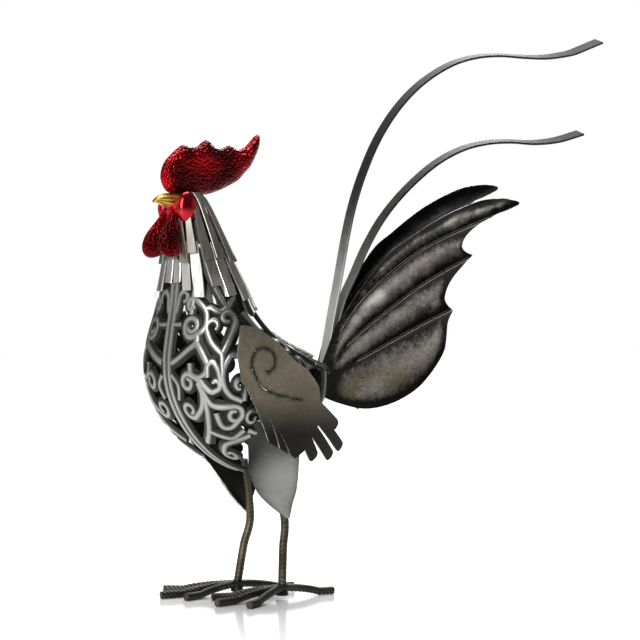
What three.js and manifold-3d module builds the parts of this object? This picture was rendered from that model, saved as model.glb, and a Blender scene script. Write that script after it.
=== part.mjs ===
// Metal rooster figurine: two pierced scrollwork body shells, a collar of iron straps, a cast head with
// comb and wattles, sheet wings and thighs, rod legs and toes, a two-plate sheet tail and two long ribbons.
// Millimetres, +Z up. The beak points to -X and the figure's own left side is -Y.
import * as THREE from 'three';
import { mergeVertices } from 'three/addons/utils/BufferGeometryUtils.js';
import Module from 'manifold-3d';

const wasm = await Module();
wasm.setup();

// Driving dimensions
const HEIGHT = 450; // floor to the tip of the long tail ribbon
const CLEARANCE = 0.3; // gap between neighbouring pieces
const BODY_HALF = 57; // half the body's widest width
const WING_STAND = 5; // from there out to the crown of a wing
const SCROLL_WIDTH = 7.4; // a scroll strand of the body shells
const SCROLL_DEPTH = 3; // from its ridge to its flat back
const STRAP_WIDTH = 8.4; // a neck strap where the neck leaves room for it
const STRAP_GAP = 1; // between neck straps side by side
const STRAP_SHEET = 1.2;
const STRAP_LIFT = 1; // from the scrollwork to the lower straps
const WING_SHEET = 1.2;
const SLIT_WIDTH = 1; // the spiral cut in each wing
const THIGH_SHEET = 1.4;
const RUMP_SHEET = 1.2;
const TAIL_SHEET = 1.2;
const TAIL_DISH = 3; // how far a tail panel sinks between its ribs
const RIBBON_WIDTH = 10;
const RIBBON_SHEET = 1.8;
const LEG_ROD = 6.2;
const TOE_ROD = 5.8;
const COMB_THICK = 12;
const WATTLE_THICK = 7;

// The pose and the free forms are shares of the height: they are drawn for a height of 450.
const SHARE = HEIGHT / 450;

// The body's outer skin, as level slices: height, front, widest place, back, half width.
const BODY_LEVELS = [
  [172, -79, -32, 62, BODY_HALF],
  [181, -79, -33, 40, BODY_HALF * 0.991],
  [190, -78, -35, 17, BODY_HALF * 0.947],
  [200, -76.5, -38, 1, BODY_HALF * 0.868],
  [215, -74, -43, -11, BODY_HALF * 0.728],
  [232, -72, -47, -18, BODY_HALF * 0.596],
  [250, -70.5, -50, -28, BODY_HALF * 0.482],
  [270, -70, -53.5, -38.5, BODY_HALF * 0.368],
  [292, -69, -58, -49, BODY_HALF * 0.21],
];
const KEEL = { height: 93, x: 0, lengthPower: 1.75, widthPower: 2 };
const SLICE_POWER = { front: 3, back: 2 };
const NECK_TOP = 286;

const vec = (x, y, z) => new THREE.Vector3(x, y, z);
const lerp = THREE.MathUtils.lerp;
const radians = THREE.MathUtils.degToRad;
const signedPower = (value, power) => Math.sign(value) * Math.abs(value) ** power;

// Solids and geometry

function solidFrom(points, faces) {
  const build = (order) => new wasm.Manifold(new wasm.Mesh({
    numProp: 3,
    vertProperties: new Float32Array(points.flatMap((p) => [p.x, p.y, p.z])),
    triVerts: new Uint32Array(order),
  }));
  const made = build(faces);
  if (made.volume() > 0) return made;
  const turned = [];
  for (let i = 0; i < faces.length; i += 3) turned.push(faces[i], faces[i + 2], faces[i + 1]);
  return build(turned);
}

function solidOf(geometry) {
  geometry.deleteAttribute('normal');
  geometry.deleteAttribute('uv');
  const merged = mergeVertices(geometry, 1e-4);
  const { array } = merged.attributes.position;
  const points = [];
  for (let i = 0; i < array.length; i += 3) points.push(vec(array[i], array[i + 1], array[i + 2]));
  const faces = [];
  const corners = merged.index.array;
  for (let i = 0; i < corners.length; i += 3) {
    const face = corners.slice(i, i + 3);
    if (new Set(face).size === 3) faces.push(...face);
  }
  return solidFrom(points, faces);
}

function pointsAndFaces(solid) {
  const mesh = solid.getMesh();
  const points = [];
  for (let i = 0; i < mesh.vertProperties.length; i += mesh.numProp) {
    points.push(vec(...mesh.vertProperties.slice(i, i + 3)));
  }
  return { points, faces: [...mesh.triVerts] };
}

function geometryOf(solid) {
  const { points, faces } = pointsAndFaces(solid);
  const geometry = new THREE.BufferGeometry().setFromPoints(faces.map((index) => points[index]));
  geometry.computeVertexNormals();
  return geometry;
}

function mirrored(solid) {
  const { points, faces } = pointsAndFaces(solid);
  return solidFrom(points.map((p) => vec(p.x, -p.y, p.z)), faces);
}

// The faces between rings of points, each ring with as many points as the next.
function loftFaces(rings) {
  const size = rings[0].length;
  const faces = [];
  for (let ring = 0; ring < rings.length - 1; ring += 1) {
    for (let i = 0; i < size; i += 1) {
      const a = ring * size + i;
      const b = ring * size + ((i + 1) % size);
      faces.push(a, b, b + size, a, b + size, a + size);
    }
  }
  return faces;
}

// Closed solid through convex rings.
function loft(rings) {
  const size = rings[0].length;
  const faces = loftFaces(rings);
  const last = (rings.length - 1) * size;
  for (let i = 1; i < size - 1; i += 1) {
    faces.push(0, i + 1, i);
    faces.push(last, last + i, last + i + 1);
  }
  return solidFrom(rings.flat(), faces);
}

// Closed sheet between two grids of points, given as functions of the shares s and t.
function sheet(columns, rows, outer, inner) {
  const points = [];
  for (const side of [outer, inner]) {
    for (let j = 0; j <= rows; j += 1) {
      for (let i = 0; i <= columns; i += 1) points.push(side(i / columns, j / rows));
    }
  }
  const back = (columns + 1) * (rows + 1);
  const at = (i, j) => j * (columns + 1) + i;
  const faces = [];
  const quad = (a, b, c, d) => faces.push(a, b, c, a, c, d);
  for (let j = 0; j < rows; j += 1) {
    for (let i = 0; i < columns; i += 1) {
      quad(at(i, j), at(i + 1, j), at(i + 1, j + 1), at(i, j + 1));
      quad(back + at(i, j), back + at(i, j + 1), back + at(i + 1, j + 1), back + at(i + 1, j));
    }
  }
  const rim = [];
  for (let i = 0; i < columns; i += 1) rim.push(at(i, 0));
  for (let j = 0; j < rows; j += 1) rim.push(at(columns, j));
  for (let i = columns; i > 0; i -= 1) rim.push(at(i, rows));
  for (let j = rows; j > 0; j -= 1) rim.push(at(0, j));
  rim.forEach((a, k) => {
    const b = rim[(k + 1) % rim.length];
    quad(b, a, back + a, back + b);
  });
  return solidFrom(points, faces);
}

// Prism through the figure's left side: an outline in X and Z, run from the middle plane out to -Y.
function sidePrism(shape) {
  const geometry = new THREE.ExtrudeGeometry(shape, { depth: 100, bevelEnabled: false, curveSegments: 5 });
  geometry.rotateX(Math.PI / 2);
  geometry.scale(SHARE, SHARE, SHARE);
  return solidOf(geometry);
}

const shapeThrough = (points) => {
  const shape = new THREE.Shape();
  shape.moveTo(...points[0]);
  points.slice(1).forEach((point) => shape.lineTo(...point));
  return shape;
};

const asVector2 = (points) => points.map((point) => new THREE.Vector2(...point));

// Points along a smooth run.
const smooth = (points, perSpan = 1) => (
  new THREE.SplineCurve(asVector2(points)).getPoints((points.length - 1) * perSpan));

const bend = (from, by, to) => (
  new THREE.QuadraticBezierCurve(...asVector2([from, by, to])).getPoints(4));

// A closed outline from runs of points, with a point left out where it only repeats the one before.
function outlineOf(...runs) {
  const apart = (a, b) => a.distanceTo(b) > 0.05;
  const points = runs.flat().filter((point, k, all) => k === 0 || apart(point, all[k - 1]));
  if (!apart(points[0], points.at(-1))) points.pop();
  return new THREE.Shape(points);
}

// Ring of a bar: corners as pairs of side and outward offsets in the frame at a point of its path.
const ringAt = (point, side, out, corners) => corners.map(([a, b]) => (
  point.clone().addScaledVector(side, a).addScaledVector(out, b)));

const regularCorners = (count, radius, start = 0) => Array.from({ length: count }, (_, k) => {
  const angle = start + (k / count) * Math.PI * 2;
  return [Math.cos(angle) * radius, Math.sin(angle) * radius];
});

// The body's skin

function bodySlice(height) {
  const [widestHeight, front, widest, back, half] = BODY_LEVELS[0];
  if (height < widestHeight) {
    const drop = Math.min((widestHeight - height) / (widestHeight - KEEL.height), 0.9999);
    const length = (1 - drop ** KEEL.lengthPower) ** (1 / KEEL.lengthPower);
    const width = (1 - drop ** KEEL.widthPower) ** (1 / KEEL.widthPower);
    return [...[front, widest, back].map((x) => lerp(KEEL.x, x, length)), half * width];
  }
  const last = BODY_LEVELS.length - 1;
  let k = 0;
  while (k < last - 1 && height > BODY_LEVELS[k + 1][0]) k += 1;
  const [before, from, to, after] = [k - 1, k, k + 1, k + 2].map((i) => (
    BODY_LEVELS[THREE.MathUtils.clamp(i, 0, last)]));
  const t = (height - from[0]) / (to[0] - from[0]);
  // Hermite between the levels, with each slope taken from the levels on both sides.
  return [1, 2, 3, 4].map((column) => {
    const span = to[0] - from[0];
    const slopeFrom = ((to[column] - before[column]) / (to[0] - before[0])) * span;
    const slopeTo = ((after[column] - from[column]) / (after[0] - from[0])) * span;
    return from[column] * (2 * t ** 3 - 3 * t ** 2 + 1) + slopeFrom * (t ** 3 - 2 * t ** 2 + t)
      + to[column] * (3 * t ** 2 - 2 * t ** 3) + slopeTo * (t ** 3 - t ** 2);
  });
}

// Angle 0 is the breast, 90 the figure's left, 180 the back, and negative angles are its right.
function skinPoint(angle, height) {
  const [front, widest, back, half] = bodySlice(height);
  const turn = radians(angle);
  const ahead = Math.cos(turn) > 0;
  const power = 2 / (ahead ? SLICE_POWER.front : SLICE_POWER.back);
  const reach = ahead ? widest - front : back - widest;
  return vec(
    widest - signedPower(Math.cos(turn), power) * reach,
    -signedPower(Math.sin(turn), power) * half,
    height,
  ).multiplyScalar(SHARE);
}

function skinFrame(angle, height) {
  const step = 0.5;
  const low = Math.max(height - step, KEEL.height + 0.01);
  const side = skinPoint(angle + step, height).sub(skinPoint(angle - step, height)).normalize();
  const up = skinPoint(angle, height + step).sub(skinPoint(angle, low)).normalize();
  const out = side.clone().cross(up).normalize();
  return { point: skinPoint(angle, height), side, up, out };
}

function skinAngle(point) {
  const height = THREE.MathUtils.clamp(point.z / SHARE, KEEL.height + 0.5, BODY_LEVELS.at(-1)[0]);
  const [front, widest, back, half] = bodySlice(height);
  const ahead = point.x / SHARE < widest;
  const power = (ahead ? SLICE_POWER.front : SLICE_POWER.back) / 2;
  const reach = ahead ? widest - front : back - widest;
  const along = signedPower((widest - point.x / SHARE) / reach, power);
  const across = signedPower(-point.y / SHARE / half, power);
  return [THREE.MathUtils.radToDeg(Math.atan2(across, along)), height];
}

// The whole body as one closed form, grown by a lift: it cuts what is set against the body.
function bodyCore(lift) {
  const around = 36;
  const heights = [93.2, 96, 101, 109, 120, 134, 150, 164, 172, 178, 184, 191, 200, 215, 232, 250, 270, 292];
  return loft(heights.map((height) => Array.from({ length: around }, (_, k) => {
    const { point, out } = skinFrame((k / around) * 360 + 2, height);
    return point.addScaledVector(out, lift);
  })));
}

// Scrollwork

const STRAND_STEP = 15 * SHARE;
const CURL_STEP = 78;

// A curl on the skin: a shrinking turn that leaves a point in a heading, to its left or its right.
function curl(point, heading, turns, radius) {
  const [angle, height] = skinAngle(point);
  const { out } = skinFrame(angle, height);
  const ahead = heading.clone().addScaledVector(out, -heading.dot(out)).normalize();
  const inward = out.clone().cross(ahead).multiplyScalar(Math.sign(turns));
  const centre = point.clone().addScaledVector(inward, radius);
  const total = Math.abs(turns) * 360;
  const steps = Math.round(total / CURL_STEP);
  const path = [];
  for (let k = 1; k <= steps; k += 1) {
    const share = k / steps;
    const sweep = radians(total * share);
    const shrunk = radius * (1 - 0.62 * share);
    const place = centre.clone()
      .addScaledVector(inward, -Math.cos(sweep) * shrunk)
      .addScaledVector(ahead, Math.sin(sweep) * shrunk);
    path.push(skinPoint(...skinAngle(place)));
  }
  return path;
}

// One strand: via points as pairs of skin angle and height, and a curl at either end.
function strand({ via, start, finish, wide = 1 }) {
  const chart = new THREE.CatmullRomCurve3(via.map(([angle, height]) => vec(angle, height, 0)));
  const fine = chart.getSpacedPoints(40).map((p) => skinPoint(p.x, p.y));
  const run = new THREE.CatmullRomCurve3(fine);
  const pieces = Math.max(2, Math.round(run.getLength() / STRAND_STEP));
  const middle = run.getSpacedPoints(pieces).map((p) => skinPoint(...skinAngle(p)));
  const heading = (a, b) => middle.at(b).clone().sub(middle.at(a));
  const before = start ? curl(middle[0], heading(1, 0), start[0], start[1] * SHARE).reverse() : [];
  const after = finish ? curl(middle.at(-1), heading(-2, -1), finish[0], finish[1] * SHARE) : [];
  const path = [...before, ...middle, ...after];
  const rings = path.map((point, k) => {
    const ahead = path[Math.min(k + 1, path.length - 1)].clone().sub(path[Math.max(k - 1, 0)]).normalize();
    const { out } = skinFrame(...skinAngle(point));
    const side = ahead.clone().cross(out).normalize();
    const fromEnd = Math.min(start ? k : path.length, finish ? path.length - 1 - k : path.length);
    const half = (SCROLL_WIDTH / 2) * wide * Math.min(1, 0.62 + 0.08 * fromEnd);
    return ringAt(point, side, out, [[-half, -SCROLL_DEPTH], [half, -SCROLL_DEPTH], [0, 0]]);
  });
  return loft(rings);
}

// Border strands run beside the middle plane, down the breast and down the back.
function seamAngle(height, offset, rear) {
  const half = bodySlice(height)[3];
  const power = (rear ? SLICE_POWER.back : SLICE_POWER.front) / 2;
  const sine = Math.min(1, (offset / SHARE / half)) ** power;
  const angle = THREE.MathUtils.radToDeg(Math.asin(sine));
  return rear ? 180 - angle : angle;
}

const seamRoute = (rear, heights) => heights.map((height) => (
  [seamAngle(height, SCROLL_WIDTH * 0.36, rear), height]));

// The breast and flank as the maker drew them: a double C, a heart, S scrolls, a ring and leaves.
const BREAST_SCROLLS = [
  { via: [[33, 223], [47, 215], [42, 204], [27, 197]], start: [0.8, 5.4], finish: [-1.3, 8.4] },
  { via: [[47, 216], [56, 217], [70, 214], [84, 219], [92, 226]], wide: 0.85 },
  { via: [[57, 184], [46, 192], [42, 201]], finish: [-0.75, 6.4] },
  { via: [[57, 184], [70, 195], [83, 206]], finish: [0.85, 6.6] },
  { via: [[65, 182], [57, 173], [56, 162], [62, 154], [74, 150]], start: [-0.3, 5] },
  { via: [[57, 185], [56.5, 172]] },
  { via: [[28, 198], [27, 192], [16, 186], [2, 177]] },
  { via: [[27, 192], [32, 186], [39, 177]] },
  { via: [[38, 167], [39, 176], [46, 178], [52, 171], [54, 161]] },
  { via: [[19, 177], [20, 170], [28, 167], [36, 170], [39, 176]], wide: 0.8 },
  { via: [[19, 169], [28, 165], [34, 160], [41, 156], [49, 158]], start: [1.1, 6.6], finish: [0.6, 4.4] },
  { via: [[27, 163], [30, 155], [26, 145], [16, 138]], finish: [-1.1, 7.2] },
  { via: [[31, 158], [31, 142], [24, 128], [11, 118]] },
  { via: [[31, 156], [38, 147], [50, 145], [64, 146]], finish: [-1.1, 6.8] },
  { via: [[41, 141], [44, 131], [56, 130], [68, 136]], wide: 0.9 },
  { via: [[24, 127], [36, 124], [54, 122], [72, 128]], wide: 0.85 },
  { via: [[78, 124], [58, 120], [38, 117], [27, 111]], finish: [1, 5.8] },
  { via: [[2, 213], [5, 225]], finish: [-0.7, 6] },
  { via: [[1, 205], [10, 205]], wide: 0.7 },
  { via: [[2, 168], [6, 160], [4, 150]], wide: 0.8 },
  { via: [[76, 150], [80, 160]], finish: [0.8, 6] },
];

// What the wing and the straps mostly hide is plainer: ribs down the flank, each with two curls.
const FLANK_RIBS = [100, 140];
const NECK_RIBS = [30, 75, 125];
const NECK_RING = 262;

function shellStrands() {
  const strands = BREAST_SCROLLS.map(strand);
  strands.push(strand({ via: seamRoute(false, [NECK_TOP, 262, 240, 215, 190, 165, 140, 118, 102, 95]) }));
  strands.push(strand({ via: seamRoute(true, [NECK_TOP, 250, 215, 192, 178, 165, 145, 120, 102, 95]) }));
  strands.push(strand({ via: [3, 45, 90, 135, 176].map((angle) => [angle, NECK_RING]) }));
  FLANK_RIBS.forEach((angle, k) => {
    const sway = k % 2 ? -5 : 5;
    const rib = [[angle - 6, 214], [angle + sway, 188], [angle - sway, 150], [angle, 104]];
    strands.push(strand({ via: rib }));
    strands.push(strand({ via: [[angle + sway, 186], [angle + 18, 192]], finish: [-0.85, 7], wide: 0.9 }));
    strands.push(strand({ via: [[angle - sway, 148], [angle + 14, 156]], finish: [-0.85, 7], wide: 0.9 }));
  });
  strands.push(strand({ via: [[76, 128], [100, 124], [130, 130], [160, 124], [176, 126]], wide: 0.9 }));
  NECK_RIBS.forEach((angle, k) => {
    const sway = k % 2 ? -8 : 8;
    strands.push(strand({ via: [[angle, NECK_TOP], [angle + sway, 252], [angle - sway, 212]], wide: 0.8 }));
  });
  return strands;
}

// The left half: all strands joined, cut at the middle plane and where the head sits.
function bodyShell(headCut) {
  const joined = shellStrands().reduce((all, next) => all.add(next));
  const far = new THREE.BoxGeometry(HEIGHT, HEIGHT, HEIGHT);
  far.translate(0, HEIGHT / 2 - CLEARANCE / 2, HEIGHT / 2);
  return joined.subtract(solidOf(far)).subtract(headCut);
}

// Head

const HEAD = { centre: [-60, 0, 288.5], half: [18.5, 14, 15.5] };
const CHEEK = { centre: [-70, 11, 289], half: [6.4, 4.4, 10.5] };

function ball({ centre, half }, grow, columns, rows) {
  const geometry = new THREE.SphereGeometry(1, columns, rows);
  geometry.rotateX(Math.PI / 2);
  geometry.scale(...half.map((size) => size * SHARE + grow));
  geometry.translate(...centre.map((place) => place * SHARE));
  return solidOf(geometry);
}

function headSolid(grow = 0) {
  const [x, y, z] = CHEEK.centre;
  return ball(HEAD, grow, 13, 8)
    .add(ball({ centre: [x, -y, z], half: CHEEK.half }, grow, 8, 6))
    .add(ball({ centre: [x, y, z], half: CHEEK.half }, grow, 8, 6));
}

// The comb's outline: front, three bumps with dips between them, the high rear point and the belly.
const COMB_FRONT = [[-70, 299], [-78.5, 303], [-82.5, 312], [-79.5, 327], [-70, 335], [-64, 336.4]];
const COMB_BUMP_ONE = [[-57, 334.4], [-50, 337.5], [-45, 341], [-40, 338.6], [-33, 335]];
const COMB_BUMP_TWO = [[-33, 335], [-28, 336.6], [-23.5, 338.2], [-20, 337], [-15, 335.5]];
const COMB_REAR = [[-15, 335.5], [-6, 339], [4, 348.5]];
const COMB_HEART = [-44, 318]; // the comb swells about this point
const COMB_PUFF = [[0.84, -1], [1, -0.4], [1, 0.4], [0.84, 1]];
const COMB_BELLY = [[4.6, 337], [-2, 325.5], [-12, 315.5], [-24, 308], [-38, 303], [-48, 298]];

function combSolid(headCut, beakCut) {
  const shape = outlineOf(
    smooth([...COMB_FRONT, COMB_BUMP_ONE[0]]),
    smooth(COMB_BUMP_ONE),
    smooth(COMB_BUMP_TWO),
    smooth(COMB_REAR),
    smooth(COMB_BELLY),
  );
  const layers = COMB_PUFF.map(([size, depth]) => shape.getPoints().map((point) => vec(
    lerp(COMB_HEART[0], point.x, size) * SHARE,
    (depth * COMB_THICK) / 2,
    lerp(COMB_HEART[1], point.y, size) * SHARE,
  )));
  const faces = loftFaces(layers);
  const last = (layers.length - 1) * layers[0].length;
  THREE.ShapeUtils.triangulateShape(shape.getPoints(), []).forEach(([a, b, c]) => {
    faces.push(a, b, c, last + a, last + c, last + b);
  });
  return solidFrom(layers.flat(), faces).subtract(headCut).subtract(beakCut);
}

const BEAK = { rootX: -66, tipX: -90.5, tipZ: 293.8, topZ: 300.6, lowZ: 288.6, half: 7.4 };

function beakSolid(grow = 0) {
  const rings = [0, 0.3, 0.6, 0.85, 1].map((t) => {
    const left = Math.sqrt(1 - t ** 1.7) + 0.02;
    const top = lerp(BEAK.tipZ, BEAK.topZ, left);
    const low = lerp(BEAK.tipZ - 0.6, BEAK.lowZ, left);
    const half = BEAK.half * left;
    return regularCorners(8, 1, Math.PI / 2).map(([across, up]) => vec(
      lerp(BEAK.rootX, BEAK.tipX, t),
      across * half,
      (top + low) / 2 + (up * (top - low)) / 2,
    ).multiplyScalar(SHARE).add(vec(0, across * grow, up * grow)));
  });
  return loft(rings);
}

const WATTLE = { top: [-77, -3.4, 288.5], low: [-84.5, -12.5, 254], neck: 0.32, half: 10.4 };

function wattleSolid(headCut, neckCut) {
  const top = vec(...WATTLE.top);
  const low = vec(...WATTLE.low);
  const rings = [0, 0.15, 0.35, 0.55, 0.75, 0.92, 1].map((t) => {
    const lobe = Math.sqrt(Math.max(0, 1 - ((t - 0.66) / (t > 0.66 ? 0.345 : 1)) ** 2));
    const swell = lerp(WATTLE.neck, 1, THREE.MathUtils.smoothstep(t, 0, 0.62)) * lobe;
    const thick = (WATTLE_THICK / 2) * Math.max(swell, 0.3) ** 0.8;
    const middle = top.clone().lerp(low, t).multiplyScalar(SHARE);
    return regularCorners(8, 1).map(([along, across]) => middle.clone().add(vec(
      along * WATTLE.half * swell * SHARE,
      across * thick,
      0,
    )));
  });
  return loft(rings).subtract(headCut).subtract(neckCut);
}

// Neck straps: two overlapping tiers, each strap a flat bar that narrows with the neck.
const STRAPS = 18;
const UPPER = {
  top: 288,
  ends: [252, 249, 256, 250, 252, 249, 254, 250, 252],
  lift: 2 * STRAP_LIFT + STRAP_SHEET,
};
const LOWER = { top: 264, ends: [235, 229, 224, 232, 225, 222, 217, 214, 212], lift: STRAP_LIFT };

function sliceWalk(height) {
  const walk = [{ angle: 0, length: 0 }];
  let from = skinPoint(0, height);
  for (let angle = 3; angle <= 180; angle += 3) {
    const to = skinPoint(angle, height);
    walk.push({ angle, length: walk.at(-1).length + to.distanceTo(from) });
    from = to;
  }
  return walk;
}

function strapPlace(height, share) {
  const walk = sliceWalk(height);
  const goal = walk.at(-1).length * share;
  const k = walk.findIndex(({ length }) => length >= goal);
  const [a, b] = [walk[k - 1], walk[k]];
  return {
    angle: lerp(a.angle, b.angle, (goal - a.length) / (b.length - a.length)),
    pitch: (walk.at(-1).length * 2) / STRAPS,
  };
}

function strapSolid(tier, k, headCut) {
  const share = (k + 0.5) / (STRAPS / 2);
  const heights = [0, 0.5, 1].map((t) => lerp(tier.top, tier.ends[k], t));
  const rings = heights.map((height) => {
    const { angle, pitch } = strapPlace(height, share);
    const { point, side, out } = skinFrame(angle, height);
    const half = Math.min(STRAP_WIDTH, pitch - STRAP_GAP) / 2;
    const low = tier.lift;
    const high = low + STRAP_SHEET;
    return ringAt(point, side, out, [[-half, low], [half, low], [half, high], [-half, high]]);
  });
  return loft(rings).subtract(headCut);
}

// Wings: one bent sheet each, with seven cut feathers and a spiral slit.
const WING_CROWN = { x: -28, z: 165, front: 0.003, rear: 0.0018, up: 0.003 };
const WING_OUT = BODY_HALF + WING_STAND;
const WING_FRAME = { x: [-62, 60], z: [98, 210] };
const WING_FRONT = [[-57, 184], [-54, 164], [-50.5, 160], [-27, 119.5]];
const WING_LOW = [[1, 106.5], [9.5, 112.5], [19, 131]];
const WING_TOP = [
  [18.6, 150], [16, 160], [4, 172], [-8, 179], [-20, 190], [-32, 198.5], [-42, 203], [-52, 204.5],
];
const FEATHERS = [
  { root: [6, 124], tip: [21.5, 105], wide: 9.4 },
  { root: [10, 131], tip: [40, 105], wide: 8.6 },
  { root: [12, 141], tip: [50, 111.5], wide: 8.4 },
  { root: [10, 149], tip: [40.5, 128.5], wide: 8.6 },
];
const FEATHER_SLITS = [{ root: [-30, 140], tip: [-15.5, 112] }, { root: [-24, 133], tip: [-1.5, 105] }];
const SPIRAL = { centre: [-34.5, 178], inner: 7.5, outer: 12, turns: 0.82, start: -80 };
const SPIRAL_TAIL = [[-41, 164], [-34, 157.8], [-24, 154.3], [-13, 152], [0, 149.6]];

function wingDepth(x, z) {
  const slope = x < WING_CROWN.x ? WING_CROWN.front : WING_CROWN.rear;
  return -(WING_OUT - slope * (x - WING_CROWN.x) ** 2 - WING_CROWN.up * (z - WING_CROWN.z) ** 2);
}

function bar([x0, z0], [x1, z1], wideStart, wideEnd) {
  const away = new THREE.Vector2(x1 - x0, z1 - z0).normalize();
  const [sx, sz] = [-away.y, away.x];
  const [a, b] = [wideStart / 2, wideEnd / 2];
  const near = [[x0 + sx * a, z0 + sz * a], [x0 - sx * a, z0 - sz * a]];
  return [...near, [x1 - sx * b, z1 - sz * b], [x1 + sx * b, z1 + sz * b]];
}

// A feather: a bar with its two far corners cut off.
function feather({ root, tip, wide }) {
  const [a, b, c, d] = bar(root, tip, wide, wide);
  const cut = 2 / Math.hypot(c[0] - b[0], c[1] - b[1]);
  const back = ([x0, z0], [x1, z1]) => [lerp(x1, x0, cut), lerp(z1, z0, cut)];
  const inset = ([x0, z0], [x1, z1]) => [lerp(x0, x1, 0.25), lerp(z0, z1, 0.25)];
  return shapeThrough([a, b, back(b, c), inset(c, d), inset(d, c), back(a, d)]);
}

// The slit follows a spiral out from the eye and then a long tail toward the rear.
function spiralSlit() {
  const half = SLIT_WIDTH / SHARE / 2;
  const line = [];
  const steps = 9;
  for (let k = 0; k <= steps; k += 1) {
    const share = k / steps;
    const angle = radians(SPIRAL.start) + share * SPIRAL.turns * Math.PI * 2;
    const radius = lerp(SPIRAL.inner, SPIRAL.outer, share);
    line.push([SPIRAL.centre[0] + Math.cos(angle) * radius, SPIRAL.centre[1] + Math.sin(angle) * radius]);
  }
  line.push(...SPIRAL_TAIL);
  const edge = (side) => line.map(([x, z], k) => {
    const [x0, z0] = line[Math.max(k - 1, 0)];
    const [x1, z1] = line[Math.min(k + 1, line.length - 1)];
    const long = Math.hypot(x1 - x0, z1 - z0);
    return [x - ((z1 - z0) / long) * half * side, z + ((x1 - x0) / long) * half * side];
  });
  return shapeThrough([...edge(1), ...edge(-1).reverse()]);
}

function wingSolid() {
  const at = (s, t, inward) => {
    const x = lerp(...WING_FRAME.x, s);
    const z = lerp(...WING_FRAME.z, t);
    return vec(x, wingDepth(x, z), z).multiplyScalar(SHARE).add(vec(0, inward, 0));
  };
  const bent = sheet(6, 5, (s, t) => at(s, t, 0), (s, t) => at(s, t, WING_SHEET));
  const outline = outlineOf(asVector2([...WING_FRONT, ...WING_LOW]), smooth(WING_TOP));
  let cutter = sidePrism(outline);
  FEATHERS.forEach((one) => { cutter = cutter.add(sidePrism(feather(one))); });
  FEATHER_SLITS.forEach(({ root, tip }) => {
    cutter = cutter.subtract(sidePrism(shapeThrough(bar(root, tip, 0.5, 1.9))));
  });
  return bent.intersect(cutter.subtract(sidePrism(spiralSlit())));
}

// Thighs: a dished leaf of sheet from under the wing down to the knee.
const THIGH_IN_WING = { high: 8, low: 13.3, rim: 26 }; // how far its middle lies inside the wing's crown
const THIGH_SPINE = [
  [-22, THIGH_IN_WING.high - WING_OUT, 135], [-12.5, THIGH_IN_WING.low - WING_OUT, 116],
  [-3, THIGH_IN_WING.rim - WING_OUT, 97], [3.8, -28, 81], [7, -25.8, 71], [12.6, -25.4, 60],
];
const THIGH_HALVES = [20, 20.5, 20, 16.2, 9.9, 1.5];
const THIGH_TILT = 0.19; // the rear edge stands out further than the front one
const THIGH_DISH = 7; // how far its edges stand in from its middle

function thighSolid(coreCut) {
  const spine = new THREE.CatmullRomCurve3(THIGH_SPINE.map((point) => vec(...point)));
  const halves = new THREE.SplineCurve(asVector2(THIGH_HALVES.map((half, k) => [k, half])));
  const at = (s, t, inward) => {
    const across = s * 2 - 1;
    const half = halves.getPoint(t).y;
    const point = spine.getPoint(t);
    point.x += across * half;
    point.y += THIGH_DISH * (across * (half / THIGH_HALVES[1])) ** 2 - THIGH_TILT * across * half;
    return point.multiplyScalar(SHARE).add(vec(0, inward, 0));
  };
  return sheet(4, 8, (s, t) => at(s, t, 0), (s, t) => at(s, t, THIGH_SHEET)).subtract(coreCut);
}

// Rump cover: a saddle of sheet over the back, with a round end and a slot each side.
const RUMP = { angle: 52, low: 173.5, high: 199, frontX: 2, endX: 50, half: 23 };

function rumpSolid() {
  const at = (s, t, lift) => {
    const angle = 180 + (s * 2 - 1) * RUMP.angle;
    const { point, out } = skinFrame(angle, lerp(RUMP.low, RUMP.high, t));
    return point.addScaledVector(out, lift);
  };
  const low = 2 * CLEARANCE;
  const saddle = sheet(6, 4, (s, t) => at(s, t, low + RUMP_SHEET), (s, t) => at(s, t, low));
  const plan = new THREE.Shape();
  plan.moveTo(RUMP.frontX, -RUMP.half);
  plan.lineTo(RUMP.endX - RUMP.half * 0.8, -RUMP.half);
  plan.quadraticCurveTo(RUMP.endX, -RUMP.half, RUMP.endX, 0);
  plan.quadraticCurveTo(RUMP.endX, RUMP.half, RUMP.endX - RUMP.half * 0.8, RUMP.half);
  plan.lineTo(RUMP.frontX, RUMP.half);
  for (const side of [-1, 1]) {
    const slot = new THREE.Path();
    slot.absellipse(24, side * 12.5, 8.5, 2.6, 0, Math.PI * 2, true);
    plan.holes.push(slot);
  }
  const geometry = new THREE.ExtrudeGeometry(plan, { depth: 60, bevelEnabled: false, curveSegments: 4 });
  geometry.translate(0, 0, RUMP.low - 20);
  geometry.scale(SHARE, SHARE, SHARE);
  return saddle.intersect(solidOf(geometry));
}

// Tail plates: a fan of concave panels between raised ribs, with three hooked points.
const TAIL_ROOT = [60, 160];
const TAIL_LINES = [
  [[54, 163], [78, 212], [117, 257], [175, 291], [252, 312]],
  [[54, 161], [89, 216], [150, 261.5], [224, 291], [262, 302]],
  [[54, 159], [84, 191], [133, 223], [167, 242], [226, 268]],
  [[54, 157], [84, 173], [141, 198], [167, 209], [212, 226]],
  [[52, 151], [82, 136], [126, 133], [180, 160], [206, 205]],
];
const TAIL_TOP = [
  [68.6, 199], [77, 211], [117, 256.4], [142, 272.6], [175, 290.3], [208, 303], [226, 307.2], [246, 307.9],
];
const TAIL_TIP = [[258, 307.2], [264.6, 306], [253, 301.4]];
const TAIL_NOTCHES = [
  { from: [231, 294], to: [199.5, 268], point: [208.4, 261.4], bend: [200.5, 281] },
  { from: [196.5, 249.6], to: [181.4, 225], point: [188.8, 215.4], bend: [184, 238] },
];
const TAIL_LOW = [
  [185.2, 206.8], [184, 194.2], [180, 181.3], [167, 165.6], [150, 152.1], [126, 142.2], [100, 138.6],
  [74, 143.6], [53, 151],
];
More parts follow.
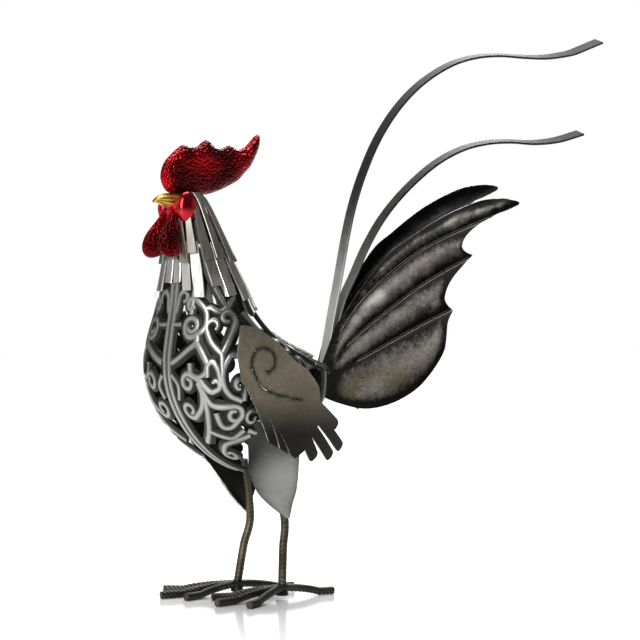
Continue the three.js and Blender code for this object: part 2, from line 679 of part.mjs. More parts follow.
const TAIL_SPLAY = 0.035; // how much the left plate leans out, as a share of its length
const FAR_TAIL = { splay: 0.012, turn: 4.1, back: 11 }; // the right plate leans less, turned up and set back

function tailShape() {
  const notches = TAIL_NOTCHES.flatMap(({ from, to, point, bend: by }) => [
    ...bend(from, by, to),
    ...bend(to, [to[0] + 0.5, to[1] - 5], point),
  ]);
  return outlineOf(
    smooth([[53, 163], ...TAIL_TOP]),
    smooth([TAIL_TOP.at(-1), ...TAIL_TIP]),
    notches,
    smooth([TAIL_NOTCHES.at(-1).point, ...TAIL_LOW]),
  );
}

function tailPlate(splay) {
  const lines = TAIL_LINES.map((points) => new THREE.SplineCurve(asVector2(points)));
  const panels = lines.length - 1;
  const at = (s, t, inward) => {
    const k = Math.min(Math.floor(t * panels), panels - 1);
    const across = t * panels - k;
    const from = lines[k].getPoint(s);
    const to = lines[k + 1].getPoint(s);
    const place = from.lerp(to, across);
    const sink = Math.sin(Math.PI * across) * THREE.MathUtils.smoothstep(s, 0, 0.4);
    const reach = place.distanceTo(new THREE.Vector2(...TAIL_ROOT));
    const stand = RIBBON_WIDTH / 2 + 2 * CLEARANCE + TAIL_SHEET + TAIL_DISH * (1 - sink);
    const depth = -stand - splay * reach * SHARE;
    return vec(place.x * SHARE, depth + inward, place.y * SHARE);
  };
  const fan = sheet(5, 2 * panels, (s, t) => at(s, t, 0), (s, t) => at(s, t, TAIL_SHEET));
  return fan.intersect(sidePrism(tailShape()));
}

// The right plate: mirrored, turned about a line along Y through the tail's root, and set back.
function farTailPlate() {
  const { points, faces } = pointsAndFaces(mirrored(tailPlate(FAR_TAIL.splay)));
  const pivot = vec(TAIL_ROOT[0], 0, TAIL_ROOT[1]).multiplyScalar(SHARE);
  const landing = pivot.clone().add(vec(FAR_TAIL.back * SHARE, 0, 0));
  const turn = radians(FAR_TAIL.turn);
  const moved = points.map((p) => p.sub(pivot).applyAxisAngle(vec(0, -1, 0), turn).add(landing));
  return solidFrom(moved, faces);
}

// Tail ribbons: flat bars bent in the middle plane, their width across it.
const LONG_RIBBON = [
  [61.5, 150], [64.6, 166], [74, 210], [81.4, 242.3], [88.4, 273.7], [95.6, 299], [106, 324.6], [121, 352],
  [141.2, 377.5], [166, 399], [195.8, 416], [223, 425], [250, 429.2], [278, 430.4], [306, 432.4], [335, 438],
  [351, 443.6], [373, 452],
];
const SHORT_RIBBON = [
  [66.2, 152], [69.6, 172], [76.6, 200], [85, 223.6], [96, 243], [109.5, 267], [127.4, 291], [151.7, 314],
  [181, 334.8], [209, 348], [236, 355], [263, 358], [291.5, 358.6], [320, 362.4], [349.5, 370.4],
];
const RIBBON_TAPER = 0.45; // width left at the very tip

function ribbonSolid(points, steps, coreCut) {
  const curve = new THREE.SplineCurve(asVector2(points));
  const rings = Array.from({ length: steps + 1 }, (_, k) => {
    const share = k / steps;
    const place = curve.getPointAt(share);
    const ahead = curve.getTangentAt(share);
    const half = (RIBBON_WIDTH / 2) * (share > 0.97 ? RIBBON_TAPER : 1);
    const thick = RIBBON_SHEET / 2;
    const out = vec(-ahead.y, 0, ahead.x);
    const middle = vec(place.x, 0, place.y).multiplyScalar(SHARE);
    const corners = [[-half, -thick], [half, -thick], [half, thick], [-half, thick]];
    return ringAt(middle, vec(0, 1, 0), out, corners);
  });
  return loft(rings).subtract(coreCut);
}

// Legs and feet. Each toe is a bar that leaves the ankle high and comes down flat on its tip.
const SIDES = {
  left: {
    ankle: [11.7, -19.5],
    knee: [13.2, -20, 62],
    hip: [2, -16, 102],
    toes: [[-38.6, -0.3], [-52.5, -26.7], [-39.5, -48.9], [54.2, -27.4]],
  },
  right: {
    ankle: [-1.8, 19.5],
    knee: [10.9, 20, 59],
    hip: [2, 16, 102],
    toes: [[-43.1, 57.9], [-62.9, 31.4], [-53.8, 11.5], [46.4, 12.6]],
  },
};
const HUB = { height: 12.5, radius: 4.8, toLeg: 1.2 };

function rodSolid(points, radius, steps) {
  const curve = new THREE.CatmullRomCurve3(points, false, 'centripetal');
  const rings = curve.getSpacedPoints(steps).map((point, k) => {
    const ahead = curve.getTangentAt(k / steps);
    const side = ahead.clone().cross(vec(1, 0, 0)).normalize();
    const out = side.clone().cross(ahead).normalize();
    return ringAt(point, side, out, regularCorners(7, radius));
  });
  return loft(rings);
}

function toeSolid([ankleX, ankleY], [tipX, tipY]) {
  const radius = TOE_ROD / 2;
  const from = vec(ankleX, ankleY, 0).multiplyScalar(SHARE);
  const to = vec(tipX, tipY, 0).multiplyScalar(SHARE);
  const ahead = to.clone().sub(from).normalize();
  const side = vec(-ahead.y, ahead.x, 0);
  const flat = radius * Math.cos(Math.PI / 6);
  const arch = (share) => Math.max(0, Math.cos((Math.PI / 2) * Math.min(1, share / 0.72)));
  const drop = (share) => 4.6 * SHARE * arch(share) ** 0.8;
  const rings = [0, 0.28, 0.5, 0.7, 0.93, 1].map((share) => {
    const size = share === 1 ? 0.72 : 1;
    const point = from.clone().lerp(to, share);
    point.z = drop(share) + flat * size;
    return ringAt(point, side, vec(0, 0, 1), regularCorners(6, radius * size));
  });
  return loft(rings);
}

function footSolid({ ankle, toes }) {
  const hub = new THREE.CylinderGeometry(HUB.radius * 0.75, HUB.radius, HUB.height - 2, 8);
  hub.rotateX(Math.PI / 2);
  hub.translate(ankle[0], ankle[1], HUB.height / 2 + 1);
  hub.scale(SHARE, SHARE, SHARE);
  return toes.reduce((all, tip) => all.add(toeSolid(ankle, tip)), solidOf(hub));
}

function legSolid({ ankle, knee, hip }, coreCut) {
  const shin = [lerp(ankle[0], knee[0], 0.5), lerp(ankle[1], knee[1], 0.5), 36];
  const marks = [[...ankle, HUB.height + HUB.toLeg], shin, knee, hip];
  const points = marks.map((point) => vec(...point).multiplyScalar(SHARE));
  return rodSolid(points, LEG_ROD / 2, 8).subtract(coreCut);
}

// Materials: the colour, roughness and metalness of each finish
const FINISHES = {
  scroll: { color: '#85868a', roughness: 0.42, metalness: 0.9 },
  strap: { color: '#a3a19a', roughness: 0.38, metalness: 0.95 },
  red: { color: '#8c0f16', roughness: 0.22, metalness: 0.5 },
  gold: { color: '#c08a24', roughness: 0.3, metalness: 0.85 },
  wing: { color: '#6d675c', roughness: 0.48, metalness: 0.9 },
  thigh: { color: '#8b8a84', roughness: 0.42, metalness: 0.9 },
  rod: { color: '#5d5a55', roughness: 0.5, metalness: 0.9 },
  tail: { color: '#6b6862', roughness: 0.4, metalness: 0.95 },
  ribbon: { color: '#aaa9a6', roughness: 0.35, metalness: 0.95 },
};

const rooster = new THREE.Group();

function place(name, solid, finish) {
  const mesh = new THREE.Mesh(geometryOf(solid), new THREE.MeshStandardMaterial(FINISHES[finish]));
  mesh.name = name;
  rooster.add(mesh);
}

// The right piece is the left one mirrored across the middle plane.
function placePair(name, solid, finish) {
  place(`${name}_left`, solid, finish);
  place(`${name}_right`, mirrored(solid), finish);
}

const headCut = headSolid(CLEARANCE);
const coreCut = bodyCore(2 * CLEARANCE);
const neckCut = bodyCore(UPPER.lift + STRAP_SHEET + 2 * CLEARANCE);
placePair('body', bodyShell(headCut), 'scroll');
for (const [name, tier] of [['strap_upper', UPPER], ['strap_lower', LOWER]]) {
  for (let k = 0; k < STRAPS / 2; k += 1) {
    placePair(`${name}_${k + 1}`, strapSolid(tier, k, headCut), 'strap');
  }
}
place('head', headSolid(), 'red');
place('comb', combSolid(headCut, beakSolid(CLEARANCE)), 'red');
place('beak', beakSolid().subtract(headCut), 'gold');
placePair('wattle', wattleSolid(headCut, neckCut), 'red');
placePair('wing', wingSolid(), 'wing');
placePair('thigh', thighSolid(coreCut), 'thigh');
place('rump_cover', rumpSolid(), 'wing');
place('tail_plate_left', tailPlate(TAIL_SPLAY).subtract(coreCut), 'tail');
place('tail_plate_right', farTailPlate().subtract(coreCut), 'tail');
place('tail_ribbon_long', ribbonSolid(LONG_RIBBON, 24, coreCut), 'ribbon');
place('tail_ribbon_short', ribbonSolid(SHORT_RIBBON, 19, coreCut), 'ribbon');
for (const [side, sizes] of Object.entries(SIDES)) {
  place(`leg_${side}`, legSolid(sizes, coreCut), 'rod');
  place(`foot_${side}`, footSolid(sizes), 'rod');
}

// The origin is the middle of the standing figure's box, on the floor.
const box = new THREE.Box3().setFromObject(rooster);
const middle = box.getCenter(new THREE.Vector3());
rooster.children.forEach((mesh) => mesh.position.set(-middle.x, -middle.y, -box.min.z));

export default rooster;
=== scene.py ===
# %% [markdown]
# # A standing metal rooster
# The real figure is bent, cut and cast metal: a pierced scrollwork body in two halves, a collar of flat
# straps, a red cast head, sheet wings and thighs, rod legs, a fan tail and two long curved ribbons.
# Everything here is drawn in millimetres as the maker would measure it, and becomes metres at the end.

# %% Load the packed model
import bmesh
import bpy
import math
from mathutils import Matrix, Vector, geometry, noise


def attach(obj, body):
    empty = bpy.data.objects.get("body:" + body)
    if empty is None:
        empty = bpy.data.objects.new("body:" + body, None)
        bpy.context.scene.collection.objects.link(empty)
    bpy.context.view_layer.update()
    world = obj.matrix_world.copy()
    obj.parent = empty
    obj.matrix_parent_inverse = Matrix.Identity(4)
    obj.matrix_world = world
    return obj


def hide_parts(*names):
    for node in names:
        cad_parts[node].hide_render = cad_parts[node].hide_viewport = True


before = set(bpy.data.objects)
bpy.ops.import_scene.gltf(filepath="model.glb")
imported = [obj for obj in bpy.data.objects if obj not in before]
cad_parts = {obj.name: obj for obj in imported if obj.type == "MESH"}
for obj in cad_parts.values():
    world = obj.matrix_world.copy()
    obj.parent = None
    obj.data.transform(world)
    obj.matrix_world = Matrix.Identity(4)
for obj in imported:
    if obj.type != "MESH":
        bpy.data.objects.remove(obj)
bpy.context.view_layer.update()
print("solids loaded:", len(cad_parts))

# %% [markdown]
# ## Camera, light and floor
# The photograph is taken from the front left, level with the wing, with a long lens. A metal figure shows
# mostly what it reflects, so the room matters as much as the lamps: a bright ceiling, a darker band at the
# sides and a pale floor give satin steel its light and dark parts. Only the camera sees plain white.

# %% Camera
DRAWING_ORIGIN = -140.328  # where the drawing's x = 0 lies in the row frame, in mm


def metres(x, y, z):
    """A place in the drawing, in mm, as metres in the frame."""
    return Vector((x + DRAWING_ORIGIN, y, z)) / 1000


def drawn(place):
    """A place in the frame as the drawing's x and z in mm."""
    return place.x * 1000 - DRAWING_ORIGIN, place.z * 1000


VIEW_TURN = math.radians(38)
VIEW_FROM = metres(-826.2, -1138.2, 208)
LENS, SENSOR = 105, 36
BOTH_SIDES = (("left", 1), ("right", -1))  # 1 keeps y as it is drawn, -1 mirrors it
camera_data = bpy.data.cameras.new("photo_camera")
camera_data.lens = LENS
camera_data.sensor_width = SENSOR
camera = bpy.data.objects.new("photo_camera", camera_data)
camera.location = VIEW_FROM
camera.rotation_euler = (math.pi / 2, 0, -VIEW_TURN)
scene = bpy.context.scene
scene.collection.objects.link(camera)
scene.camera = camera
scene.view_settings.view_transform = "Standard"
print("camera at", [round(c, 3) for c in VIEW_FROM])

# %% [markdown]
# ## Shader maths as Python
# A finish is a sum of masks: scratches, dents, darker hollows. Written with nodes alone that is hard to
# read, so one small class wraps a socket, and an expression such as 1 - mask * 0.5 adds the Math nodes.

# %% A socket that does arithmetic


class Tone:
    """A socket's value; arithmetic on it adds Math nodes."""

    def __init__(self, finish, socket):
        self.finish, self.socket = finish, socket

    def math(self, operation, *others):
        return self.finish.add("ShaderNodeMath", {"operation": operation}, {
            k: value for k, value in enumerate((self, *others))})

    def __add__(self, other):
        return self.math("ADD", other)

    def __mul__(self, other):
        return self.math("MULTIPLY", other)

    def __rsub__(self, other):
        return (self * -1) + other

    def __sub__(self, other):
        return self.math("SUBTRACT", other)

    __radd__ = __add__
    __rmul__ = __mul__

    def power(self, other):
        return self.math("POWER", other)

    def ramp(self, low, high):
        """From 0 at low to 1 at high, eased at both ends."""
        return self.finish.add("ShaderNodeMapRange", {"interpolation_type": "SMOOTHSTEP"}, {
            "Value": self, "From Min": low, "From Max": high})


class Finish:
    """A node material, with one method that adds any node."""

    def __init__(self, name):
        self.material = bpy.data.materials.new(name)
        self.material.use_nodes = True
        self.tree = self.material.node_tree
        self.shader = self.tree.nodes["Principled BSDF"]
        self.place = self.add("ShaderNodeTexCoord", {}, {}, "Object")

    def add(self, kind, settings, sockets, output=0):
        node = self.tree.nodes.new(kind)
        for name, value in settings.items():
            setattr(node, name, value)
        self.feed(node, sockets)
        return Tone(self, node.outputs[output])

    def feed(self, node, sockets):
        for name, value in sockets.items():
            if isinstance(value, Tone):
                self.tree.links.new(value.socket, node.inputs[name])
            else:
                node.inputs[name].default_value = value

    def stretched(self, scale):
        return self.add("ShaderNodeMapping", {}, {"Vector": self.place, "Scale": scale})

    def noise(self, scale, detail=3, stretch=None):
        where = self.stretched(stretch) if stretch else self.place
        return self.add("ShaderNodeTexNoise", {}, {"Vector": where, "Scale": scale, "Detail": detail})

    def cells(self, scale):
        sockets = {"Vector": self.place, "Scale": scale}
        return self.add("ShaderNodeTexVoronoi", {"feature": "F1"}, sockets, "Distance")

    def axis(self, letter):
        return self.add("ShaderNodeSeparateXYZ", {}, {"Vector": self.place}, letter)

    def attribute(self, name):
        return self.add("ShaderNodeAttribute", {"attribute_name": name}, {}, "Fac")

    def mix(self, share, dark, light):
        settings = {"data_type": "RGBA"}
        return self.add("ShaderNodeMix", settings, {0: share, 6: colour(dark), 7: colour(light)}, 2)

    def bump(self, height, depth):
        return self.add("ShaderNodeBump", {}, {"Height": height, "Distance": depth, "Strength": 1.0})

    def done(self, **sockets):
        self.feed(self.shader, {name.replace("_", " "): value for name, value in sockets.items()})
        return self.material


def colour(value):
    return value if isinstance(value, Tone) else (*value, 1)


print("a finish can add:", [name for name in vars(Finish) if not name.startswith("_")])


# %% [markdown]
# ## Room and floor
# The world is a set of soft panels by direction: a ceiling, a bright key to the left of the camera, fainter
# ones round the sides, a white backdrop behind the figure, and dark between them. Two lamps and a wide sun
# add highlights and a soft shadow. The floor is pale with a little gloss, as under the real figure.

# %% World
world = bpy.data.worlds.new("studio")
scene.world = world
world.use_nodes = True


class Room(Finish):
    """The world's nodes: the same maths, by direction instead of place."""

    def __init__(self):
        self.tree = world.node_tree
        self.shader = self.tree.nodes["Background"]
        self.place = self.add("ShaderNodeTexCoord", {}, {}, "Generated")

    def facing(self, direction):
        settings = {"operation": "DOT_PRODUCT"}
        return self.add("ShaderNodeVectorMath", settings, {0: self.place, 1: Vector(direction).normalized()}, 1)


room = Room()
ceiling = room.facing((0, 0, 1)).ramp(0.45, 0.95)
key_panel = room.facing((-0.79, -0.4, 0.36)).ramp(0.87, 0.975)
back_panel = room.facing((0.7, 0.6, 0.35)).ramp(0.8, 0.97)
left_panel = room.facing((-0.76, 0.54, 0.34)).ramp(0.84, 0.97)
backdrop = room.facing((0.616, 0.788, 0)).ramp(0.86, 0.97)
side_panel = room.facing((0.85, -0.5, 0.1)).ramp(0.86, 0.98)
seen = room.add("ShaderNodeLightPath", {}, {}, "Is Camera Ray")
glow = (0.06 + ceiling * 0.2 + key_panel * 1.5 + back_panel * 0.3 + left_panel * 0.9 + side_panel * 0.4
        + backdrop)
room.feed(room.shader, {"Strength": glow * (1 - seen) + seen, "Color": (1, 1, 1, 1)})
print("room has", len(room.tree.nodes), "nodes")

# %% Lamps and floor


def lamp(name, kind, place, aim, power, **sizes):
    data = bpy.data.lights.new(name, kind)
    data.energy = power
    for size, value in sizes.items():
        setattr(data, size, value)
    made = bpy.data.objects.new(name, data)
    made.location = place
    made.rotation_euler = (Vector(aim) - Vector(place)).to_track_quat("-Z", "Y").to_euler()
    scene.collection.objects.link(made)


lamp("key_strip", "AREA", (-1.5, -0.8, 0.85), (-0.1, 0, 0.25), 23, shape="RECTANGLE", size=0.4, size_y=1.3)
lamp("rim", "AREA", (0.9, 1.0, 1.1), (-0.05, 0, 0.25), 9, shape="DISK", size=0.6)
lamp("sky", "SUN", (0.3, 0.5, 2), (0, 0, 0), 3.25, angle=math.radians(45))

FLOOR_REACH = 8
floor_mesh = bpy.data.meshes.new("floor")
floor_mesh.from_pydata([(x * FLOOR_REACH, y * FLOOR_REACH, 0) for x, y in ((-1, -1), (1, -1), (1, 1), (-1, 1))], [],
                       [(0, 1, 2, 3)])
floor = bpy.data.objects.new("floor", floor_mesh)
scene.collection.objects.link(floor)
floor_paint = Finish("pale_floor")
floor_mesh.materials.append(floor_paint.done(Base_Color=(0.9, 0.9, 0.9, 1), Roughness=0.12))
print("room and floor made")

# %% [markdown]
# ## Smooth lines
# A maker draws a line through a few marks and lets it run smoothly. The Catmull-Rom rule does the same:
# it passes through each mark, and its direction at a mark is that of the line between its neighbours.

# %% Lines through marks


def catmull(a, b, c, d, t):
    return tuple(0.5 * (2 * q + (r - p) * t + (2 * p - 5 * q + 4 * r - s) * t ** 2
                        + (3 * q - p - 3 * r + s) * t ** 3) for p, q, r, s in zip(a, b, c, d))


def along(marks, share):
    """The point at a share of the marks' count along a smooth line."""
    reach = min(max(share, 0), 1) * (len(marks) - 1)
    k = min(int(reach), len(marks) - 2)
    first, last = marks[0], marks[-1]
    before = marks[k - 1] if k else tuple(2 * a - b for a, b in zip(first, marks[1]))
    after = marks[k + 2] if k + 2 < len(marks) else tuple(2 * a - b for a, b in zip(last, marks[-2]))
    return catmull(before, marks[k], marks[k + 1], after, reach - k)


def smooth(marks, per_span=6):
    count = (len(marks) - 1) * per_span
    return [along(marks, k / count) for k in range(count + 1)]


def evenly(points, step):
    """Points a step apart along a run of points."""
    total = sum(math.dist(a, b) for a, b in zip(points, points[1:]))
    count = max(2, round(total / step))
    found, k, done = [tuple(points[0])], 0, 0.0
    for n in range(1, count):
        goal = total * n / count
        while done + math.dist(points[k], points[k + 1]) < goal:
            done += math.dist(points[k], points[k + 1])
            k += 1
        span = math.dist(points[k], points[k + 1]) or 1
        found.append(tuple(Vector(points[k]).lerp(Vector(points[k + 1]), (goal - done) / span)))
    return found + [tuple(points[-1])]


def headings(line):
    """The direction of a run of points at each of them."""
    last = len(line) - 1
    return [(Vector(line[min(k + 1, last)]) - Vector(line[max(k - 1, 0)])).normalized() for k in range(last + 1)]


def beside(line, off):
    """A flat line moved sideways."""
    return [tuple(Vector(point) + Vector((-ahead.y, ahead.x)) * off) for point, ahead in zip(line, headings(line))]


def lerp(a, b, t):
    return a + (b - a) * t


def step_up(x, low, high):
    t = min(max((x - low) / (high - low), 0), 1)
    return t * t * (3 - 2 * t)


print("a smooth line through 3 marks has", len(smooth([(0, 0), (1, 1), (2, 0)])), "points")

# %% [markdown]
# ## Sweeping a bar along a path, with Geometry Nodes
# Scroll strands, straps, ribbons, legs and toes are all one idea: a bar of constant section that follows a
# line. The tree takes a mesh of lines whose points carry an outward direction, a width and a twist, and a
# second mesh that is the section. Curve to Mesh then runs the section along every line at once.

# %% The sweeping tree


def sweep_tree():
    tree = bpy.data.node_groups.new("bar_along_lines", "GeometryNodeTree")
    tree.interface.new_socket("Lines", in_out="INPUT", socket_type="NodeSocketGeometry")
    section = tree.interface.new_socket("Section", in_out="INPUT", socket_type="NodeSocketObject")
    finish = tree.interface.new_socket("Finish", in_out="INPUT", socket_type="NodeSocketMaterial")
    tree.interface.new_socket("Bars", in_out="OUTPUT", socket_type="NodeSocketGeometry")
    nodes, links = tree.nodes, tree.links
    given, result = nodes.new("NodeGroupInput"), nodes.new("NodeGroupOutput")

    def carried(name, kind):
        node = nodes.new("GeometryNodeInputNamedAttribute")
        node.data_type = kind
        node.inputs["Name"].default_value = name
        return node.outputs[0]

    lines, shape = nodes.new("GeometryNodeMeshToCurve"), nodes.new("GeometryNodeMeshToCurve")
    facing, twist = nodes.new("GeometryNodeSetCurveNormal"), nodes.new("GeometryNodeSetCurveTilt")
    facing.mode = "FREE"
    source, sweep = nodes.new("GeometryNodeObjectInfo"), nodes.new("GeometryNodeCurveToMesh")
    sweep.inputs["Fill Caps"].default_value = True
    real, paint = nodes.new("GeometryNodeRealizeInstances"), nodes.new("GeometryNodeSetMaterial")
    links.new(given.outputs["Lines"], lines.inputs[0])
    links.new(lines.outputs[0], facing.inputs["Curve"])
    links.new(carried("out", "FLOAT_VECTOR"), facing.inputs["Normal"])
    links.new(facing.outputs[0], twist.inputs["Curve"])
    links.new(carried("twist", "FLOAT"), twist.inputs["Tilt"])
    links.new(given.outputs["Section"], source.inputs["Object"])
    links.new(source.outputs["Geometry"], shape.inputs[0])
    links.new(twist.outputs[0], sweep.inputs["Curve"])
    links.new(shape.outputs[0], sweep.inputs["Profile Curve"])
    links.new(carried("wide", "FLOAT"), sweep.inputs["Scale"])
    links.new(sweep.outputs[0], real.inputs[0])
    links.new(real.outputs[0], paint.inputs["Geometry"])
    links.new(given.outputs["Finish"], paint.inputs["Material"])
    links.new(paint.outputs[0], result.inputs[0])
    return tree, section.identifier, finish.identifier


SWEEP, SECTION_INPUT, FINISH_INPUT = sweep_tree()
print("the sweeping tree has", len(SWEEP.nodes), "nodes")

# %% [markdown]
# ## From a mesh to a finished piece
# Each piece ends the same way: doubles merged, faces turned outwards, smooth shading that stops at sharp
# edges, and its place kept in the mesh. Forms that a section can't follow are lofted through rings of points.

# %% Helpers for pieces


def new_object(name, mesh):
    made = bpy.data.objects.new(name, mesh)
    scene.collection.objects.link(made)
    return made


def carry(mesh, name, values):
    """A number on each point, for a finish or a tree to read."""
    mesh.attributes.new(name, "FLOAT", "POINT").data.foreach_set("value", values)


def tidy(piece, sharp=None):
    """Merges doubles, turns the faces outwards, and shades smooth but for sharp edges."""
    work = bmesh.new()
    work.from_mesh(piece.data)
    bmesh.ops.remove_doubles(work, verts=work.verts, dist=1e-6)
    bmesh.ops.recalc_face_normals(work, faces=work.faces)
    for face in work.faces:
        face.smooth = True
    if sharp:
        for edge in work.edges:
            if len(edge.link_faces) == 2 and edge.calc_face_angle(0) > math.radians(sharp):
                edge.smooth = False
    work.to_mesh(piece.data)
    work.free()


def baked(piece):
    """The piece with its modifiers applied."""
    mesh = bpy.data.meshes.new_from_object(piece.evaluated_get(bpy.context.evaluated_depsgraph_get()))
    piece.modifiers.clear()
    piece.data = mesh
    return piece


def piece_from(name, work, material, sharp=None):
    """The finished object of a bmesh."""
    mesh = bpy.data.meshes.new(name)
    work.to_mesh(mesh)
    work.free()
    mesh.materials.append(material)
    made = new_object(name, mesh)
    tidy(made, sharp)
    return made


def lofted(name, rings, material, sharp=None):
    """A closed form through rings with as many points each, in mm."""
    work = bmesh.new()
    rows = [[work.verts.new(metres(*p)) for p in ring] for ring in rings]
    count = len(rows[0])
    for a, b in zip(rows, rows[1:]):
        for k in range(count):
            j = (k + 1) % count
            work.faces.new((a[k], a[j], b[j], b[k]))
    work.faces.new(rows[0])
    work.faces.new(rows[-1])
    return piece_from(name, work, material, sharp)


# %% Bars along lines


def swept(name, lines, section, material):
    """Bars along lines. A line is a list of (point in mm, outward direction, width share, twist in radians)."""
    points = [point for line in lines for point in line]
    edges, start = [], 0
    for line in lines:
        edges += [(start + k, start + k + 1) for k in range(len(line) - 1)]
        start += len(line)
    mesh = bpy.data.meshes.new(name)
    mesh.from_pydata([metres(*p[0]) for p in points], edges, [])
    mesh.attributes.new("out", "FLOAT_VECTOR", "POINT").data.foreach_set(
        "vector", [c for p in points for c in p[1]])
    carry(mesh, "wide", [p[2] for p in points])
    carry(mesh, "twist", [p[3] for p in points])
    source = new_object(name + "_lines", mesh)
    shape = bpy.data.meshes.new(name + "_section")
    count = len(section)
    shape.from_pydata([(a / 1000, b / 1000, 0) for a, b, ridge in section],
                      [(k, (k + 1) % count) for k in range(count)], [])
    carry(shape, "ridge", [ridge for a, b, ridge in section])
    shape_object = new_object(name + "_section", shape)
    modifier = source.modifiers.new("bars", "NODES")
    modifier.node_group = SWEEP
    modifier[SECTION_INPUT] = shape_object
    modifier[FINISH_INPUT] = material
    result = bpy.data.meshes.new_from_object(source.evaluated_get(bpy.context.evaluated_depsgraph_get()))
    result.name = name
    for spare in (source, shape_object):
        bpy.data.objects.remove(spare)
    made = new_object(name, result)
    tidy(made)
    return made


def belongs(piece, slot, *nodes):
    """The piece rides on the one rigid body and stands for CAD nodes; slot is not used."""
    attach(piece, "root")
    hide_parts(*nodes)
    print(piece.name, len(piece.data.polygons), "faces")


# %% [markdown]
# ## The skin that the scrollwork lies on
# The body is an egg on a neck. Each level has a front, a widest place, a back and a half width, and a
# rounded slice joins them. Under the widest level it closes to a keel. Scrolls and straps are drawn on it
# by an angle round the body and a height, so they bend with it.

# %% Skin of the body
LEVELS = [
    (172, -79, -32, 62, 57), (181, -79, -33, 40, 56.5), (190, -78, -35, 17, 54), (200, -76.5, -38, 1, 49.5),
    (215, -74, -43, -11, 41.5), (232, -72, -47, -18, 34), (250, -70.5, -50, -28, 27.5),
    (270, -70, -53.5, -38.5, 21), (292, -69, -58, -49, 12), (300, -67, -60, -56, 6.5),
]
KEEL_HEIGHT, KEEL_POWER = 93, 1.75
FRONT_POWER, BACK_POWER = 3, 2


def skin_slice(height):
    """Front, widest place, back and half width at a height, along a Hermite curve between the levels."""
    base = LEVELS[0]
    if height < base[0]:
        drop = min((base[0] - height) / (base[0] - KEEL_HEIGHT), 0.9999)
        long = (1 - drop ** KEEL_POWER) ** (1 / KEEL_POWER)
        return [size * long for size in base[1:4]] + [base[4] * math.sqrt(1 - drop ** 2)]
    k = 0
    while k < len(LEVELS) - 2 and height > LEVELS[k + 1][0]:
        k += 1
    a, b = LEVELS[k], LEVELS[k + 1]
    before, after = LEVELS[max(k - 1, 0)], LEVELS[min(k + 2, len(LEVELS) - 1)]
    span = b[0] - a[0]
    t = (height - a[0]) / span
    found = []
    for c in range(1, 5):
        slope_a = (b[c] - before[c]) / (b[0] - before[0]) * span
        slope_b = (after[c] - a[c]) / (after[0] - a[0]) * span
        found.append(a[c] * (2 * t ** 3 - 3 * t ** 2 + 1) + slope_a * (t ** 3 - 2 * t ** 2 + t)
                     + b[c] * (3 * t ** 2 - 2 * t ** 3) + slope_b * (t ** 3 - t ** 2))
    return found


def raised(value, power):
    return math.copysign(abs(value) ** power, value)


def skin_point(angle, height):
    front, widest, back, half = skin_slice(height)
    turn = math.radians(angle)
    ahead = math.cos(turn) > 0
    power = 2 / (FRONT_POWER if ahead else BACK_POWER)
    reach = widest - front if ahead else back - widest
    return Vector((widest - raised(math.cos(turn), power) * reach, -raised(math.sin(turn), power) * half, height))


def skin_out(angle, height):
    """The direction straight out of the skin."""
    side = skin_point(angle + 0.5, height) - skin_point(angle - 0.5, height)
    up = skin_point(angle, height + 0.5) - skin_point(angle, max(height - 0.5, KEEL_HEIGHT + 0.01))
    return side.cross(up).normalized()


def skin_angle(point):
    """The angle and height on the skin nearest to a point."""
    height = min(max(point.z, KEEL_HEIGHT + 0.5), LEVELS[-1][0])
    front, widest, back, half = skin_slice(height)
    ahead = point.x < widest
    power = (FRONT_POWER if ahead else BACK_POWER) / 2
    reach = widest - front if ahead else back - widest
    return (math.degrees(math.atan2(raised(-point.y / half, power), raised((widest - point.x) / reach, power))),
            height)


print("the body's slice at 172 mm:", skin_slice(172))

# %% [markdown]
# ## Scroll strands
# Each cast strand is a rounded ridge between two thin side flanges, and most end in a curl that tightens
# like a fern. A strand is drawn through marks on the skin, with a curl at either end, to left or right.
# The list names the scrolls as the maker drew them on the breast: a double C, a heart, S scrolls and a ring.

# %% Routes of the strands
STRAND_STEP, STRAND_HALF = 2.3, 4.1
CURL_SHRINK, CURL_STEPS = 0.62, 26
NECK_TOP = 286


def curl(point, heading, turns, radius):
    """A turn that tightens, on the skin, from a point in a heading."""
    out = skin_out(*skin_angle(point))
    ahead = (heading - out * heading.dot(out)).normalized()
    inward = out.cross(ahead) * math.copysign(1, turns)
    centre = point + inward * radius
    steps = max(6, round(abs(turns) * CURL_STEPS))
    path = []
    for k in range(1, steps + 1):
        share = k / steps
        sweep = abs(turns) * 2 * math.pi * share
        shrunk = radius * (1 - CURL_SHRINK * share)
        place = centre - inward * math.cos(sweep) * shrunk + ahead * math.sin(sweep) * shrunk
        path.append(skin_point(*skin_angle(place)))
    return path


def strand(via, start=None, finish=None, wide=1.0):
    """The line of a strand through marks on the skin, with a curl of (turns, radius) at either end."""
    chart = smooth(via, 12)
    middle = [Vector(p) for p in evenly([tuple(skin_point(*mark)) for mark in chart], STRAND_STEP)]
    middle = [skin_point(*skin_angle(p)) for p in middle]
    before = curl(middle[0], middle[0] - middle[2], *start)[::-1] if start else []
    after = curl(middle[-1], middle[-1] - middle[-3], *finish) if finish else []
    path = before + middle + after
    line = []
    for k, point in enumerate(path):
        from_end = min(k if start else 99, len(path) - 1 - k if finish else 99) * STRAND_STEP / 15
        share = wide * min(1.1, 0.74 + 0.1 * from_end) if from_end > 0.2 else wide * 0.62
        line.append((tuple(point), skin_out(*skin_angle(point)), share, 0.0))
    return line


def seam(height, rear):
    """A mark just beside the middle plane, on the breast or the back."""
    half = skin_slice(height)[3]
    power = (BACK_POWER if rear else FRONT_POWER) / 2
    angle = math.degrees(math.asin(min(1, STRAND_HALF * 0.72 / half) ** power))
    return (180 - angle if rear else angle, height)


